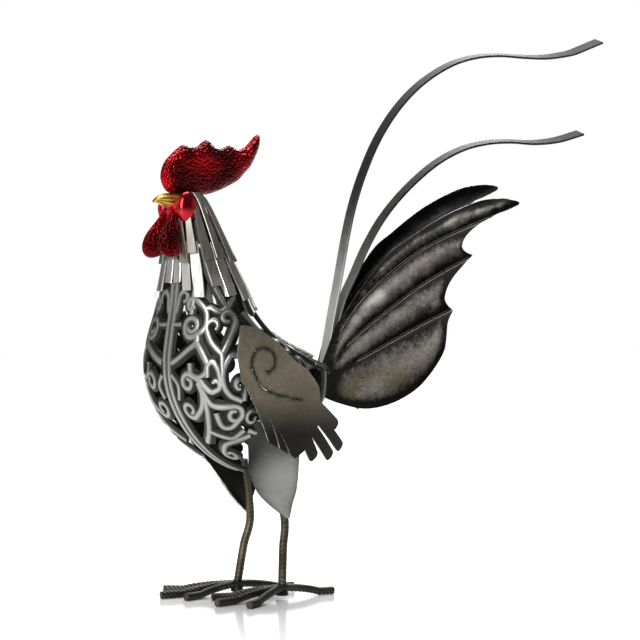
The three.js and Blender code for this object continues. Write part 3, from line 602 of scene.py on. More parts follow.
# %% The scrolls of the breast and flank
BREAST_SCROLLS = [
    dict(via=[(33, 223), (47, 215), (42, 204), (27, 197)], start=(0.8, 5.4), finish=(-1.3, 8.4)),
    dict(via=[(47, 216), (56, 217), (70, 214), (84, 219), (92, 226)], wide=0.85),
    dict(via=[(57, 184), (46, 192), (42, 201)], finish=(-0.75, 6.4)),
    dict(via=[(57, 184), (70, 195), (83, 206)], finish=(0.85, 6.6)),
    dict(via=[(65, 182), (57, 173), (56, 162), (62, 154), (74, 150)], start=(-0.3, 5)),
    dict(via=[(57, 185), (56.5, 172)]),
    dict(via=[(28, 198), (27, 192), (16, 186), (2, 177)]),
    dict(via=[(27, 192), (32, 186), (39, 177)]),
    dict(via=[(38, 167), (39, 176), (46, 178), (52, 171), (54, 161)]),
    dict(via=[(19, 177), (20, 170), (28, 167), (36, 170), (39, 176)], wide=0.8),
    dict(via=[(19, 169), (28, 165), (34, 160), (41, 156), (49, 158)], start=(1.1, 6.6), finish=(0.6, 4.4)),
    dict(via=[(27, 163), (30, 155), (26, 145), (16, 138)], finish=(-1.1, 7.2)),
    dict(via=[(31, 158), (31, 142), (24, 128), (11, 118)]),
    dict(via=[(31, 156), (38, 147), (50, 145), (64, 146)], finish=(-1.1, 6.8)),
    dict(via=[(41, 141), (44, 131), (56, 130), (68, 136)], wide=0.9),
    dict(via=[(24, 127), (36, 124), (54, 122), (72, 128)], wide=0.85),
    dict(via=[(78, 124), (58, 120), (38, 117), (27, 111)], finish=(1, 5.8)),
    dict(via=[(2, 213), (5, 225)], finish=(-0.7, 6)),
    dict(via=[(1, 205), (10, 205)], wide=0.7),
    dict(via=[(2, 168), (6, 160), (4, 150)], wide=0.8),
    dict(via=[(76, 150), (80, 160)], finish=(0.8, 6)),
]
FRAME_STRANDS = [
    dict(via=[seam(h, False) for h in (NECK_TOP, 262, 240, 215, 190, 165, 140, 118, 102, 95)]),
    dict(via=[seam(h, True) for h in (NECK_TOP, 250, 215, 192, 178, 165, 145, 120, 102, 95)]),
    dict(via=[(3, 262), (45, 262), (90, 262), (135, 262), (176, 262)]),
    dict(via=[(76, 128), (100, 124), (130, 130), (160, 124), (176, 126)], wide=0.9),
]
FLANK_RIBS = (100, 140)
NECK_RIBS = (30, 75, 125)


def flank_strands():
    found = []
    for k, angle in enumerate(FLANK_RIBS):
        sway = -5 if k % 2 else 5
        found.append(dict(via=[(angle - 6, 214), (angle + sway, 188), (angle - sway, 150), (angle, 104)]))
        found.append(dict(via=[(angle + sway, 186), (angle + 18, 192)], finish=(-0.85, 7), wide=0.9))
        found.append(dict(via=[(angle - sway, 148), (angle + 14, 156)], finish=(-0.85, 7), wide=0.9))
        found.append(dict(via=[(angle + sway, 176), (angle + 14, 170)], finish=(0.9, 6.4), wide=0.85))
        found.append(dict(via=[(angle - sway, 138), (angle - 14, 143)], finish=(0.9, 6), wide=0.8))
    for k, angle in enumerate(NECK_RIBS):
        sway = -8 if k % 2 else 8
        found.append(dict(via=[(angle, NECK_TOP), (angle + sway, 252), (angle - sway, 212)], wide=0.8))
    return found


STRANDS = BREAST_SCROLLS + FRAME_STRANDS + flank_strands()
print(len(STRANDS), "strands in each half")


# %% [markdown]
# ## Antique silver on the scrollwork
# The castings are dipped dark and then rubbed, so the ridges are bright and the flanges stay dark. The
# section of a strand carries a number called ridge, 1 on its crown and 0 at its foot, and the finish mixes
# its two greys by it. A painted highlight then lightens a narrow band along each crest, and painted shade
# turns the strands toward the rear, under the tail, nearly black. A fine grain breaks the gloss as brushing does.

# %% Scrollwork finish


def scrollwork_finish():
    f = Finish("scrollwork")
    crown = f.attribute("ridge").ramp(0.15, 0.95)
    grain = f.noise(420, 4)
    patches = f.noise(38, 3)
    rubbed = (crown * 0.85 + patches * 0.6 - 0.36).ramp(0.0, 0.85)
    # Painted shade: strands toward the rear, under the tail and behind the wing, are set nearly black.
    painted_rear_shade = f.axis("X").ramp(-0.11, -0.088)
    base = f.mix(rubbed, (0.022, 0.022, 0.021), (0.165, 0.165, 0.16))
    # Painted highlight: a narrow band along each crest is set light grey.
    base = f.mix(crown.power(8) * 0.8, base, (0.36, 0.36, 0.35))
    base = f.mix(painted_rear_shade * 0.9, base, (0.02, 0.019, 0.017))
    rough = 0.44 - crown * 0.14 + grain * 0.14
    return f.done(Base_Color=base, Roughness=rough, Metallic=0.95, Normal=f.bump(grain, 0.0002))


SCROLLWORK = scrollwork_finish()

# %% Section of a strand and the two halves
# The third number sets both the rubbed wear and the painted highlight on the crest.
STRAND_CREST = [  # out from the skin, across, and how rubbed it is
    (-3.0, -3.5, 0), (-2.7, -4.15, 0), (-1.9, -4.2, 0.1), (-1.5, -3.7, 0.42), (-1.4, -3.0, 0.22), (-0.8, -2.3, 0.4),
    (-0.2, -1.4, 0.72), (0.12, -0.5, 1),
]
STRAND_SPREAD = 1.12
half_section = [(out, across * STRAND_SPREAD, rubbed) for out, across, rubbed in STRAND_CREST]
STRAND_SECTION = half_section + [(out, -across, rubbed) for out, across, rubbed in reversed(half_section)]


def mirrored(line):
    return [((x, -y, z), (out[0], -out[1], out[2]), wide, -twist) for (x, y, z), out, wide, twist in line]


left_strands = [strand(**one) for one in STRANDS]
for side, strands in (("left", left_strands), ("right", [mirrored(line) for line in left_strands])):
    body = swept("scrollwork_" + side, strands, STRAND_SECTION, SCROLLWORK)
    belongs(body, "scrollwork", "body_" + side)

# %% [markdown]
# ## The collar of straps
# Flat straps hang from under the head in two layers, like a mane, and each is cut square at its own
# height. They narrow with the neck so that a dark gap stays between them. A strap is a bar swept down the
# skin. Its section has small corners, because sheared steel never has a perfectly sharp edge.

# %% Strap sizes and finish
STRAPS_ROUND, STRAP_ROWS = 18, 10
STRAP_WIDTH, STRAP_LEAST, STRAP_GAP, STRAP_SHEET = 8.4, 3.4, 1.0, 1.2
STRAP_CORNER, STRAP_SWAY, STRAP_SLANT = 0.28, 0.1, 0.9
FRONT_TOP, HOOD_TOP = 282, 298.5
UPPER = dict(top=288, ends=[252, 249, 256, 250, 252, 249, 254, 250, 252], lift=3.2)
LOWER = dict(top=264, ends=[235, 229, 224, 232, 225, 222, 217, 214, 212], lift=1.0)


def satin_finish(name, dark, light, grain_stretch, rough):
    """Brushed steel, mottled between two greys."""
    f = Finish(name)
    brush = f.noise(90, 4, stretch=grain_stretch)
    cloud = f.noise(22, 3)
    share = (brush * 0.5 + cloud * 0.75 - 0.15).ramp(0.1, 0.85)
    speck = f.noise(900, 2)
    return f.done(Base_Color=f.mix(share, dark, light), Roughness=rough + brush * 0.16, Metallic=0.97,
                  Normal=f.bump(brush * 0.7 + speck * 0.3, 0.00012))


# Both tiers are the same steel: the lower is painted lighter for the reflected light on it, the upper darker as
# painted shade.
UPPER["finish"] = satin_finish("strap_steel_painted_shade", (0.2, 0.19, 0.16), (0.42, 0.41, 0.36), (3, 3, 0.25), 0.3)
LOWER["finish"] = satin_finish("strap_steel_painted_light", (0.38, 0.37, 0.34), (0.82, 0.81, 0.78), (3, 3, 0.25), 0.24)
print("straps in each layer:", STRAPS_ROUND)

# %% Straps


def slice_walk(height):
    """Angles round half a slice, each with the way walked to it from the breast."""
    walk, point = [(0, 0.0)], skin_point(0, height)
    for angle in range(3, 181, 3):
        ahead = skin_point(angle, height)
        walk.append((angle, walk[-1][1] + (ahead - point).length))
        point = ahead
    return walk


def strap_line(tier, k, top):
    """Rows down a strap: its middle, the way out of the skin and its width."""
    rows = []
    for n in range(STRAP_ROWS + 1):
        height = lerp(top, tier["ends"][k], n / STRAP_ROWS)
        walk = slice_walk(height)
        share = (k + 0.5 + STRAP_SWAY * math.sin(2.4 * k + top) * n / STRAP_ROWS) / (STRAPS_ROUND / 2)
        goal = walk[-1][1] * share
        j = next(i for i, (angle, far) in enumerate(walk) if far >= goal)
        (a, near), (b, far) = walk[j - 1], walk[j]
        angle = lerp(a, b, (goal - near) / (far - near))
        pitch = walk[-1][1] * 2 / STRAPS_ROUND
        wide = max(min(STRAP_WIDTH, pitch - STRAP_GAP), STRAP_LEAST)
        rows.append((skin_point(angle, height), skin_out(angle, height), wide))
    return rows


def strap(name, tier, k, side):
    """One strap: a bent bar whose width follows the neck, with small cut corners."""
    top = tier["top"]
    if tier is UPPER:
        top = FRONT_TOP if k < 3 else HOOD_TOP
    rows = strap_line(tier, k, top)
    rings = []
    for n, ((point, out, wide), ahead) in enumerate(zip(rows, headings([row[0] for row in rows]))):
        across = ahead.cross(out).normalized()
        half, low, corner = wide / 2, tier["lift"] - 0.15 + (k % 2) * 0.3, STRAP_CORNER
        high = low + STRAP_SHEET
        corners = [(-half, low), (half, low), (half, high - corner), (half - corner, high), (corner - half, high),
                   (-half, high - corner)]
        slant = math.sin(5.3 * k + top) * STRAP_SLANT if n == STRAP_ROWS else 0
        spots = [point + across * a + out * b + ahead * slant * a / half for a, b in corners]
        rings.append([(p.x, p.y * side, p.z) for p in spots])
    return lofted(name, rings, tier["finish"], 30)


for tier_name, tier in (("upper", UPPER), ("lower", LOWER)):
    for k in range(STRAPS_ROUND // 2):
        for side_name, side in BOTH_SIDES:
            piece = strap(f"strap_{tier_name}_{k + 1}_{side_name}_bar", tier, k, side)
            belongs(piece, "straps", f"strap_{tier_name}_{k + 1}_{side_name}")

# %% [markdown]
# ## Candy red on the head, comb and wattles
# These are castings under a clear red lacquer: bright metal below, deep red in the lacquer, and a wet gloss.
# The head is smooth, and a metallic base with a coat gives that. The comb and wattles are hammered: small
# round cells, about two millimetres wide, for which a bump is enough. A coat isn't dented by it and would
# veil the marks, so they have none.

# %% Red finish


def red_finish(name, dents, coat, metal, lift):
    """Lacquered metal: dents is the hammering's depth in metres, and lift makes it lighter."""
    f = Finish(name)
    cells = f.cells(430)
    dome = 1 - cells * cells * 1.6
    cloud = f.noise(44, 3)
    share = (cloud * 2 - 0.6 + lift).ramp(0.0, 1.0)
    base = f.mix(share, (0.05, 0.0003, 0.001), (0.38, 0.0015, 0.008))
    return f.done(Base_Color=base, Roughness=0.15 + cloud * 0.08, Metallic=metal, Coat_Weight=coat,
                  Coat_Roughness=0.08, Normal=f.bump(dome, dents))


RED_SMOOTH = red_finish("red_smooth", 0.00002, 0.35, 0.92, 0.55)
RED_HAMMERED = red_finish("red_hammered", 0.0007, 0.0, 0.93, -0.08)
print("red finishes:", RED_SMOOTH.name, RED_HAMMERED.name)

# %% [markdown]
# ## Head
# The head is a rounded form with a full cheek on each side. Four ellipsoids overlap, a voxel remesh makes
# them one skin, and smoothing turns the joins into soft valleys, as a casting has.

# %% Head
HEAD_VOXEL = 0.0008
HEAD_FORMS = [  # centre and half sizes
    ((-62.5, 0, 288.5), (16, 12.5, 12)), ((-68.6, -12.4, 289.6), (8.8, 5.8, 12)),
    ((-68.6, 12.4, 289.6), (8.8, 5.8, 12)), ((-70, 0, 284), (8, 8.5, 9)),
]


def ellipsoids(name, forms):
    work = bmesh.new()
    for centre, half in forms:
        made = bmesh.ops.create_uvsphere(work, u_segments=40, v_segments=24, radius=1)["verts"]
        for vert in made:
            vert.co = metres(*(c + h * v for c, h, v in zip(centre, half, vert.co)))
    mesh = bpy.data.meshes.new(name)
    work.to_mesh(mesh)
    work.free()
    return new_object(name, mesh)


head = ellipsoids("head_casting", HEAD_FORMS)
remesh = head.modifiers.new("one_skin", "REMESH")
remesh.mode = "VOXEL"
remesh.voxel_size = HEAD_VOXEL
soften = head.modifiers.new("soften", "SMOOTH")
soften.factor, soften.iterations = 0.6, 5
baked(head)
head.data.materials.clear()
head.data.materials.append(RED_SMOOTH)
tidy(head)
belongs(head, "red_enamel", "head")

# %% [markdown]
# ## Comb
# The comb is a pillow: a flat outline with three bumps and a long point at the rear, swollen inside. The
# outline is filled with a net of points, and each point's distance to the rim gives its thickness, so the
# casting is round at the rim and full in the middle whatever the outline does.

# %% Drawing of the comb
COMB_FRONT = [(-69, 299), (-78, 301.5), (-82.5, 308.2), (-83, 315), (-79.9, 323.2), (-72.9, 330.3), (-66, 335.8)]
COMB_TOP = [(-66, 335.8), (-62.4, 336.2), (-58.9, 335.4), (-51.8, 335.8), (-48.3, 338.3), (-44, 341), (-41.1, 340),
            (-37.5, 336.9), (-32, 335.6), (-26.7, 336.7), (-23.3, 338.2), (-19.4, 337), (-14, 335.8), (-8.4, 337.8),
            (-4.7, 341), (-0.9, 345), (3.4, 348.4)]
COMB_BELLY = [(3.4, 348.4), (4.6, 345), (3.4, 337), (-3.7, 323.8), (-9.3, 318.2), (-14.8, 312.7), (-20.3, 309.5),
              (-31.2, 304.5), (-42, 301), (-52, 299.5), (-60, 297.5), (-69, 299)]
COMB_THICK, COMB_SHOULDER, COMB_WAVE = 12, 10, 0.1
PILLOW_INSETS, PILLOW_STEP = (0.25, 0.8, 1.7, 2.9), 1.6
ROW_HIGH = 0.87  # rows of a net lie closer than its points, so that its triangles are even
comb_outline = smooth(COMB_FRONT, 5)[:-1] + smooth(COMB_TOP, 4)[:-1] + smooth(COMB_BELLY, 5)[:-1]
comb_outline = evenly(comb_outline + comb_outline[:1], 1.3)[:-1]
print("the comb's outline has", len(comb_outline), "points")

# %% Filling an outline


def inside(point, outline):
    """Whether a point lies in a closed outline, by counting the edges to its right."""
    x, y = point
    found = False
    for (x0, y0), (x1, y1) in zip(outline, outline[1:] + outline[:1]):
        if (y0 > y) != (y1 > y) and x < (x1 - x0) * (y - y0) / (y1 - y0) + x0:
            found = not found
    return found


def off_rim(point, outline):
    """Distance from a point to a closed outline."""
    nearest = math.inf
    for a, b in zip(outline, outline[1:] + outline[:1]):
        run = (b[0] - a[0], b[1] - a[1])
        share = ((point[0] - a[0]) * run[0] + (point[1] - a[1]) * run[1]) / max(run[0] ** 2 + run[1] ** 2, 1e-9)
        share = min(1, max(0, share))
        nearest = min(nearest, math.dist(point, (a[0] + run[0] * share, a[1] + run[1] * share)))
    return nearest


def net(marks, step, fits):
    """Staggered rows of points over the reach of the marks, where they fit."""
    xs, ys = [p.x for p in marks], [p.y for p in marks]
    found, row, y = [], 0, min(ys)
    while y < max(ys):
        x = min(xs) + (row % 2) * step / 2
        while x < max(xs):
            if fits((x, y)):
                found.append(Vector((x, y)))
            x += step
        y += step * ROW_HIGH
        row += 1
    return found


# %% Comb


def pillow(name, outline, thick, shoulder, material):
    """A swollen form over an outline in x and z, full inside and round toward its rim."""
    marks = [Vector(p) for p in outline]
    edges = [(k, (k + 1) % len(outline)) for k in range(len(outline))]
    for inset in PILLOW_INSETS:
        for k, point in enumerate(outline):
            ahead = (Vector(outline[(k + 1) % len(outline)]) - Vector(outline[k - 1])).normalized()
            for across in (Vector((-ahead.y, ahead.x)), Vector((ahead.y, -ahead.x))):
                spot = Vector(point) + across * inset
                if inside(spot, outline) and off_rim(spot, outline) > inset * 0.93:
                    marks.append(spot)
    clear = PILLOW_INSETS[-1] + PILLOW_STEP * 0.6
    marks += net(marks, PILLOW_STEP, lambda spot: inside(spot, outline) and off_rim(spot, outline) > clear)
    places, _, faces, *_ = geometry.delaunay_2d_cdt(marks, edges, [], 1, 0.001)
    work = bmesh.new()
    sides = [[], []]
    for place in places:
        off = off_rim(place, outline)
        swell = math.sqrt(1 - (1 - min(1, off / shoulder)) ** 2)
        wave = 1 + COMB_WAVE * noise.noise(Vector((*place, 0)) * 0.11)
        lift = 0 if off < 0.01 else thick / 2 * swell * wave
        for stack, side in zip(sides, (-1, 1)):
            stack.append(work.verts.new(metres(place.x, lift * side, place.y)))
    for face in faces:
        work.faces.new([sides[0][i] for i in face])
        work.faces.new([sides[1][i] for i in reversed(face)])
    bmesh.ops.remove_doubles(work, verts=work.verts, dist=2e-5)
    return piece_from(name, work, material)


comb = pillow("comb_casting", comb_outline, COMB_THICK, COMB_SHOULDER, RED_HAMMERED)
belongs(comb, "red_enamel", "comb")

# %% [markdown]
# ## Wattles and beak
# Two lobes hang from the throat, narrow above and full below. The beak is a short gilt cone, flattened at
# the sides, with a mouth line cut along it. Both are rings lofted from root to tip.

# %% Wattles
WATTLE_TOP, WATTLE_LOW = Vector((-74.5, -5, 288.5)), Vector((-83.4, -12.5, 253.4))
WATTLE_NECK, WATTLE_HALF, WATTLE_THICK = 0.42, 11.8, 8
WATTLE_FULLEST = 0.66


def wattle(side):
    rings = []
    for n in range(41):
        t = n / 40
        lobe = math.sqrt(max(0.0, 1 - ((t - WATTLE_FULLEST) / (0.345 if t > WATTLE_FULLEST else 1)) ** 2))
        swell = max(lerp(WATTLE_NECK, 1, step_up(t, 0, 0.62)) * lobe, 0.02)
        thick = WATTLE_THICK / 2 * max(swell, 0.06) ** 0.8
        middle = WATTLE_TOP.lerp(WATTLE_LOW, t)
        ring = []
        for k in range(44):
            turn = 2 * math.pi * k / 44
            x, y = middle.x + math.cos(turn) * WATTLE_HALF * swell, middle.y + math.sin(turn) * thick
            ring.append((x, y * side, middle.z))
        rings.append(ring)
    return lofted("wattle_casting_" + ("left" if side > 0 else "right"), rings, RED_HAMMERED)


for side_name, side in BOTH_SIDES:
    belongs(wattle(side), "red_enamel", "wattle_" + side_name)

# %% Beak
BEAK_ROOT, BEAK_TIP = -66, -90.5
BEAK_TOP, BEAK_LOW, BEAK_END, BEAK_HALF = 300.6, 288.6, 293.8, 7.4
MOUTH_DEEP = 0.9


def gilt_finish():
    f = Finish("gilt")
    cloud = f.noise(60, 3)
    base = f.mix(cloud.ramp(0.3, 0.75), (0.34, 0.16, 0.012), (0.72, 0.42, 0.06))
    base = f.mix(f.attribute("mouth"), base, (0.03, 0.012, 0.004))
    return f.done(Base_Color=base, Roughness=0.28 + cloud * 0.12, Metallic=0.95, Coat_Weight=0.25,
                  Normal=f.bump(f.noise(300, 2), 0.0001))


def beak():
    rings, cuts = [], []
    for n in range(37):
        t = (n / 36) ** 0.8
        top = lerp(BEAK_TOP, BEAK_END, t ** 4.5)
        low = lerp(BEAK_LOW, BEAK_END - 0.7, step_up(t, 0.25, 1))
        left = math.sqrt(max(0.0, 1 - t ** 1.9)) + 0.02
        middle, tall = (top + low) / 2, (top - low) / 2
        lips = (lerp(293.0, 294.6, t) - middle) / tall
        ring = []
        for k in range(48):
            turn = 2 * math.pi * k / 48 + math.pi / 2
            across, up = math.cos(turn), math.sin(turn)
            mouth = math.exp(-((up - lips) / 0.13) ** 2) * step_up(abs(across), 0.2, 0.7)
            half = BEAK_HALF * left - mouth * MOUTH_DEEP * left
            ring.append((lerp(BEAK_ROOT, BEAK_TIP, t), across * half, middle + up * tall))
            cuts.append(mouth)
        rings.append(ring)
    made = lofted("beak_casting", rings, gilt_finish())
    carry(made.data, "mouth", cuts[:len(made.data.vertices)])
    return made


belongs(beak(), "gilt", "beak")

# %% [markdown]
# ## Cutting sheet metal
# Wings, tail plates and the rump cover are cut from sheet and bent. A flat drawing is filled with evenly
# spread triangles that keep every cut line as an edge, then each point is moved to where the bend takes
# it, and Solidify gives the sheet its thickness. Its rim gets a finish of its own: a fresh cut is bright.

# %% Sheet from a drawing
RIM_STEP = 2.2


def cut_sheet(name, keep, holes, bend_to, thick, step, materials, lines=(), inward=(0, 1, 0)):
    """A bent sheet: keep and holes are closed outlines, lines are extra rows of points to fold along."""
    marks, edges = [], []
    for outline in [*keep, *holes]:
        start, outline = len(marks), evenly(outline + outline[:1], RIM_STEP)[:-1]
        marks += [Vector(p) for p in outline]
        edges += [(start + k, start + (k + 1) % len(outline)) for k in range(len(outline))]
    for line in lines:
        start = len(marks)
        marks += [Vector(p) for p in line]
        edges += [(start + k, start + k + 1) for k in range(len(line) - 1)]
    marks += net(marks, step, lambda spot: any(inside(spot, outline) for outline in keep))
    places, _, triangles, *_ = geometry.delaunay_2d_cdt(marks, edges, [], 0, 0.02)
    faces = []
    for face in triangles:
        middle = sum((places[i] for i in face), Vector((0, 0))) / len(face)
        if any(inside(middle, o) for o in keep) and not any(inside(middle, o) for o in holes):
            faces.append(face)
    mesh = bpy.data.meshes.new(name)
    mesh.from_pydata([metres(*bend_to(p.x, p.y)) for p in places], [], faces)
    for material in materials:
        mesh.materials.append(material)
    piece = new_object(name, mesh)
    work = bmesh.new()
    work.from_mesh(mesh)
    loose = [v for v in work.verts if not v.link_faces]
    bmesh.ops.delete(work, geom=loose, context="VERTS")
    bmesh.ops.recalc_face_normals(work, faces=work.faces)
    facing = sum((f.normal * f.calc_area() for f in work.faces), Vector())
    if facing.dot(Vector(inward)) > 0:
        bmesh.ops.reverse_faces(work, faces=work.faces)
    work.to_mesh(mesh)
    work.free()
    solid = piece.modifiers.new("thickness", "SOLIDIFY")
    solid.thickness = thick / 1000
    solid.offset = -1
    solid.material_offset_rim = len(materials) - 1
    baked(piece)
    tidy(piece, 38)
    if len(materials) == 3:
        for face in piece.data.polygons:
            if face.material_index == 0 and face.normal.dot(Vector(inward)) > 0.1:
                face.material_index = 1
    return piece


# %% Cut edges


def cut_edge_finish(name, dark, light):
    f = Finish(name)
    burr = f.noise(260, 3)
    return f.done(Base_Color=f.mix(burr.ramp(0.3, 0.7), dark, light),
                  Roughness=0.3 + burr * 0.2, Metallic=1.0, Normal=f.bump(burr, 0.0001))


CUT_EDGE = cut_edge_finish("cut_edge", (0.25, 0.24, 0.225), (0.68, 0.67, 0.65))
DARK_EDGE = cut_edge_finish("dark_edge", (0.01, 0.01, 0.01), (0.05, 0.05, 0.048))
print("edges:", CUT_EDGE.name, DARK_EDGE.name)

# %% [markdown]
# ## Wings
# Each wing is one sheet with a bowed crown. Seven feathers are cut at its lower end, two as slits and four
# as separate bars, and a spiral is pierced in the middle with a torch, in short dashes where it is tight.
# The sheet is a warm taupe with a fine grain, nearly black toward the feathers, and painted nearly black round
# the spiral as shade in its slits: each point carries a number for this, 1 at the spiral and 0 a little way off.

# %% Drawing of a wing
WING_SHEET, WING_STEP = 1.2, 3.2
WING_STAND, WING_MIDDLE, WING_ACROSS = 62, (-28, 165), 0.003
WING_FRONT = [(-57, 184), (-54, 164), (-50.5, 160), (-27, 119.5)]
WING_LOW = [(1, 106.5), (9.5, 112.5), (19, 131)]
WING_TOP = [(18.6, 150), (16, 160), (4, 172), (-8, 179), (-20, 190), (-32, 198.5), (-42, 203), (-52, 204.5)]
FEATHERS = [((6, 124), (21.5, 105), 9.4), ((10, 131), (40, 105), 8.6), ((12, 141), (50, 111.5), 8.4),
            ((10, 149), (40.5, 128.5), 8.6)]
FEATHER_SLITS = [((-30, 140), (-15.5, 112)), ((-24, 133), (-1.5, 105))]
SPIRAL_EYE, SPIRAL_INNER, SPIRAL_OUTER, SPIRAL_TURNS, SPIRAL_START = (-34.5, 178), 7.5, 12, 0.82, -80
SPIRAL_TAIL = [(-41, 164), (-34, 157.8), (-24, 154.3), (-13, 152), (0, 149.6)]
DASH, BRIDGE, DASH_STEP, DASH_HALF, SLIT_SHADE_REACH = 2.6, 0.5, 0.5, 0.3, 1.6


def wing_depth(x, z):
    """How far out of the middle plane a wing stands: its crown falls away to the rims, less at the rear."""
    off = x - WING_MIDDLE[0]
    slope = WING_ACROSS if off < 0 else 0.0018
    return -(WING_STAND - slope * off ** 2 - WING_ACROSS * (z - WING_MIDDLE[1]) ** 2)


# %% Feathers and the spiral


def bar(start, end, wide_start, wide_end):
    ahead = (Vector(end) - Vector(start)).normalized()
    side = Vector((-ahead.y, ahead.x))
    a, b = Vector(start), Vector(end)
    return [tuple(p) for p in (a + side * wide_start / 2, a - side * wide_start / 2,
                               b - side * wide_end / 2, b + side * wide_end / 2)]


def feather(root, tip, wide):
    """A bar with its two far corners cut off."""
    a, b, c, d = (Vector(p) for p in bar(root, tip, wide, wide))
    cut = 2 / (c - b).length
    return [tuple(p) for p in (a, b, c.lerp(b, cut), c.lerp(d, 0.25), d.lerp(c, 0.25), d.lerp(a, cut))]


def slit(line, half):
    return beside(line, half) + beside(line, -half)[::-1]


def spiral_cuts():
    """Dashes round the spiral, then one long slit for its tail."""
    tight = []
    for k in range(49):
        share = k / 48
        angle = math.radians(SPIRAL_START) + share * SPIRAL_TURNS * 2 * math.pi
        radius = lerp(SPIRAL_INNER, SPIRAL_OUTER, share)
        tight.append((SPIRAL_EYE[0] + math.cos(angle) * radius, SPIRAL_EYE[1] + math.sin(angle) * radius))
    tight = evenly(tight, DASH_STEP)
    per_dash, per_bridge = round(DASH / DASH_STEP), round(BRIDGE / DASH_STEP)
    cuts, k = [], 0
    while k + per_dash < len(tight):
        cuts.append(slit(tight[k:k + per_dash + 1], DASH_HALF))
        k += per_dash + per_bridge
    cuts.append(slit(evenly(smooth([tight[-1]] + SPIRAL_TAIL), 1.5), DASH_HALF))
    return cuts


SPIRAL = spiral_cuts()
print("the spiral has", len(SPIRAL), "cuts")

# %% Wing finish


def wing_finish():
    f = Finish("wing_sheet")
    brush = f.noise(330, 5)
    cloud = f.noise(30, 4)
    height = f.axis("Z")
    low = 1 - height.ramp(0.122, 0.184)
    top = f.mix((cloud * 0.8 + brush * 0.5 - 0.2).ramp(0.1, 0.9), (0.2, 0.168, 0.118), (0.37, 0.325, 0.245))
    base = f.mix(low, top, (0.008, 0.0075, 0.0065))
    # Painted shade: the sheet round the spiral is set nearly black, for the shade in its slits.
    base = f.mix(f.attribute("soot") * 0.92, base, (0.01, 0.009, 0.008))
    return f.done(Base_Color=base, Roughness=0.38 + brush * 0.16, Metallic=0.92,
                  Normal=f.bump(brush * 0.6 + cloud * 0.4, 0.00035))


WING_FINISH = wing_finish()
# The wing's inner face, toward the body, is a near-black copy of the steel: painted shade.
WING_SHADED_INSIDE = satin_finish("wing_inside_painted_shade", (0.008, 0.008, 0.007), (0.03, 0.028, 0.025), (2, 2, 2), 0.5)

# %% Wings
wing_outline = WING_FRONT + WING_LOW + smooth(WING_TOP, 3)
wing_keep = [wing_outline] + [feather(*one) for one in FEATHERS]
wing_holes = [bar(root, tip, 0.5, 1.9) for root, tip in FEATHER_SLITS] + SPIRAL
slit_shade_spots = [spot for opening in SPIRAL for spot in opening]
for side_name, side in BOTH_SIDES:
    wing = cut_sheet("wing_sheet_" + side_name, wing_keep, wing_holes,
                     lambda x, z: (x, wing_depth(x, z) * side, z), WING_SHEET, WING_STEP,
                     [WING_FINISH, WING_SHADED_INSIDE, CUT_EDGE], inward=(0, side, 0))
    wing.data.materials.append(DARK_EDGE)
    # Nearness to the spiral, for the painted shade round the slits; the spiral's cut rims take the near-black edge
    # as painted shade too.
    soot = [max(0, 1 - min(math.dist(drawn(vert.co), spot) for spot in slit_shade_spots) / SLIT_SHADE_REACH)
            for vert in wing.data.vertices]
    carry(wing.data, "soot", soot)
    for face in wing.data.polygons:
        if face.material_index == 2 and min(soot[i] for i in face.vertices) > 0.5:
            face.material_index = 3
    belongs(wing, "wing_sheet", "wing_" + side_name)

# %% [markdown]
# ## Thighs
# A thigh is a leaf of sheet, dished so that its edges turn in, wide under the wing and pointed at the knee.
# It is a grid across and down: a curved spine gives the middle, and a list of half widths the edges. Painted shade
# darkens it under the wing and toward its rim, which each point's distance from the spine tells the finish.

# %% Thigh sizes and finish
THIGH_SPINE = [(-22, -54, 135), (-12.5, -48.7, 116), (-3, -36, 97), (3.8, -28, 81), (7, -25.8, 71),
               (12.6, -25.4, 60)]
THIGH_HALVES = [(20,), (20.5,), (20,), (16.2,), (9.9,), (1.5,)]
THIGH_TILT, THIGH_DISH, THIGH_SHEET = 0.19, 7, 1.4
THIGH_COLUMNS, THIGH_ROWS = 28, 60


def thigh_finish(name, dark, light):
    """Satin steel with painted shade: darker under the wing and toward its rim."""
    f = Finish(name)
    height = f.axis("Z")
    brush = f.noise(300, 4)
    cloud = f.noise(40, 3)
    rim = f.attribute("rim").power(3)
    # Painted shade: darker high up under the wing and toward the rim, with brushing and clouds on top.
    share = height.ramp(0.13, 0.088) * 0.75 + brush * 0.2 + cloud * 0.3 - 0.2 - rim * 0.5
    return f.done(Base_Color=f.mix(share.ramp(0, 1), dark, light), Roughness=0.36 + brush * 0.14, Metallic=0.95,
                  Normal=f.bump(brush, 0.0001))


THIGH_STEEL = thigh_finish("thigh_steel", (0.035, 0.035, 0.034), (0.29, 0.29, 0.277))
# The inner face, toward the body, is a near-black copy of the same steel: painted shade.
THIGH_SHADED_INSIDE = thigh_finish("thigh_inside_painted_shade", (0.012, 0.012, 0.012), (0.035, 0.035, 0.033))


# %% Thighs


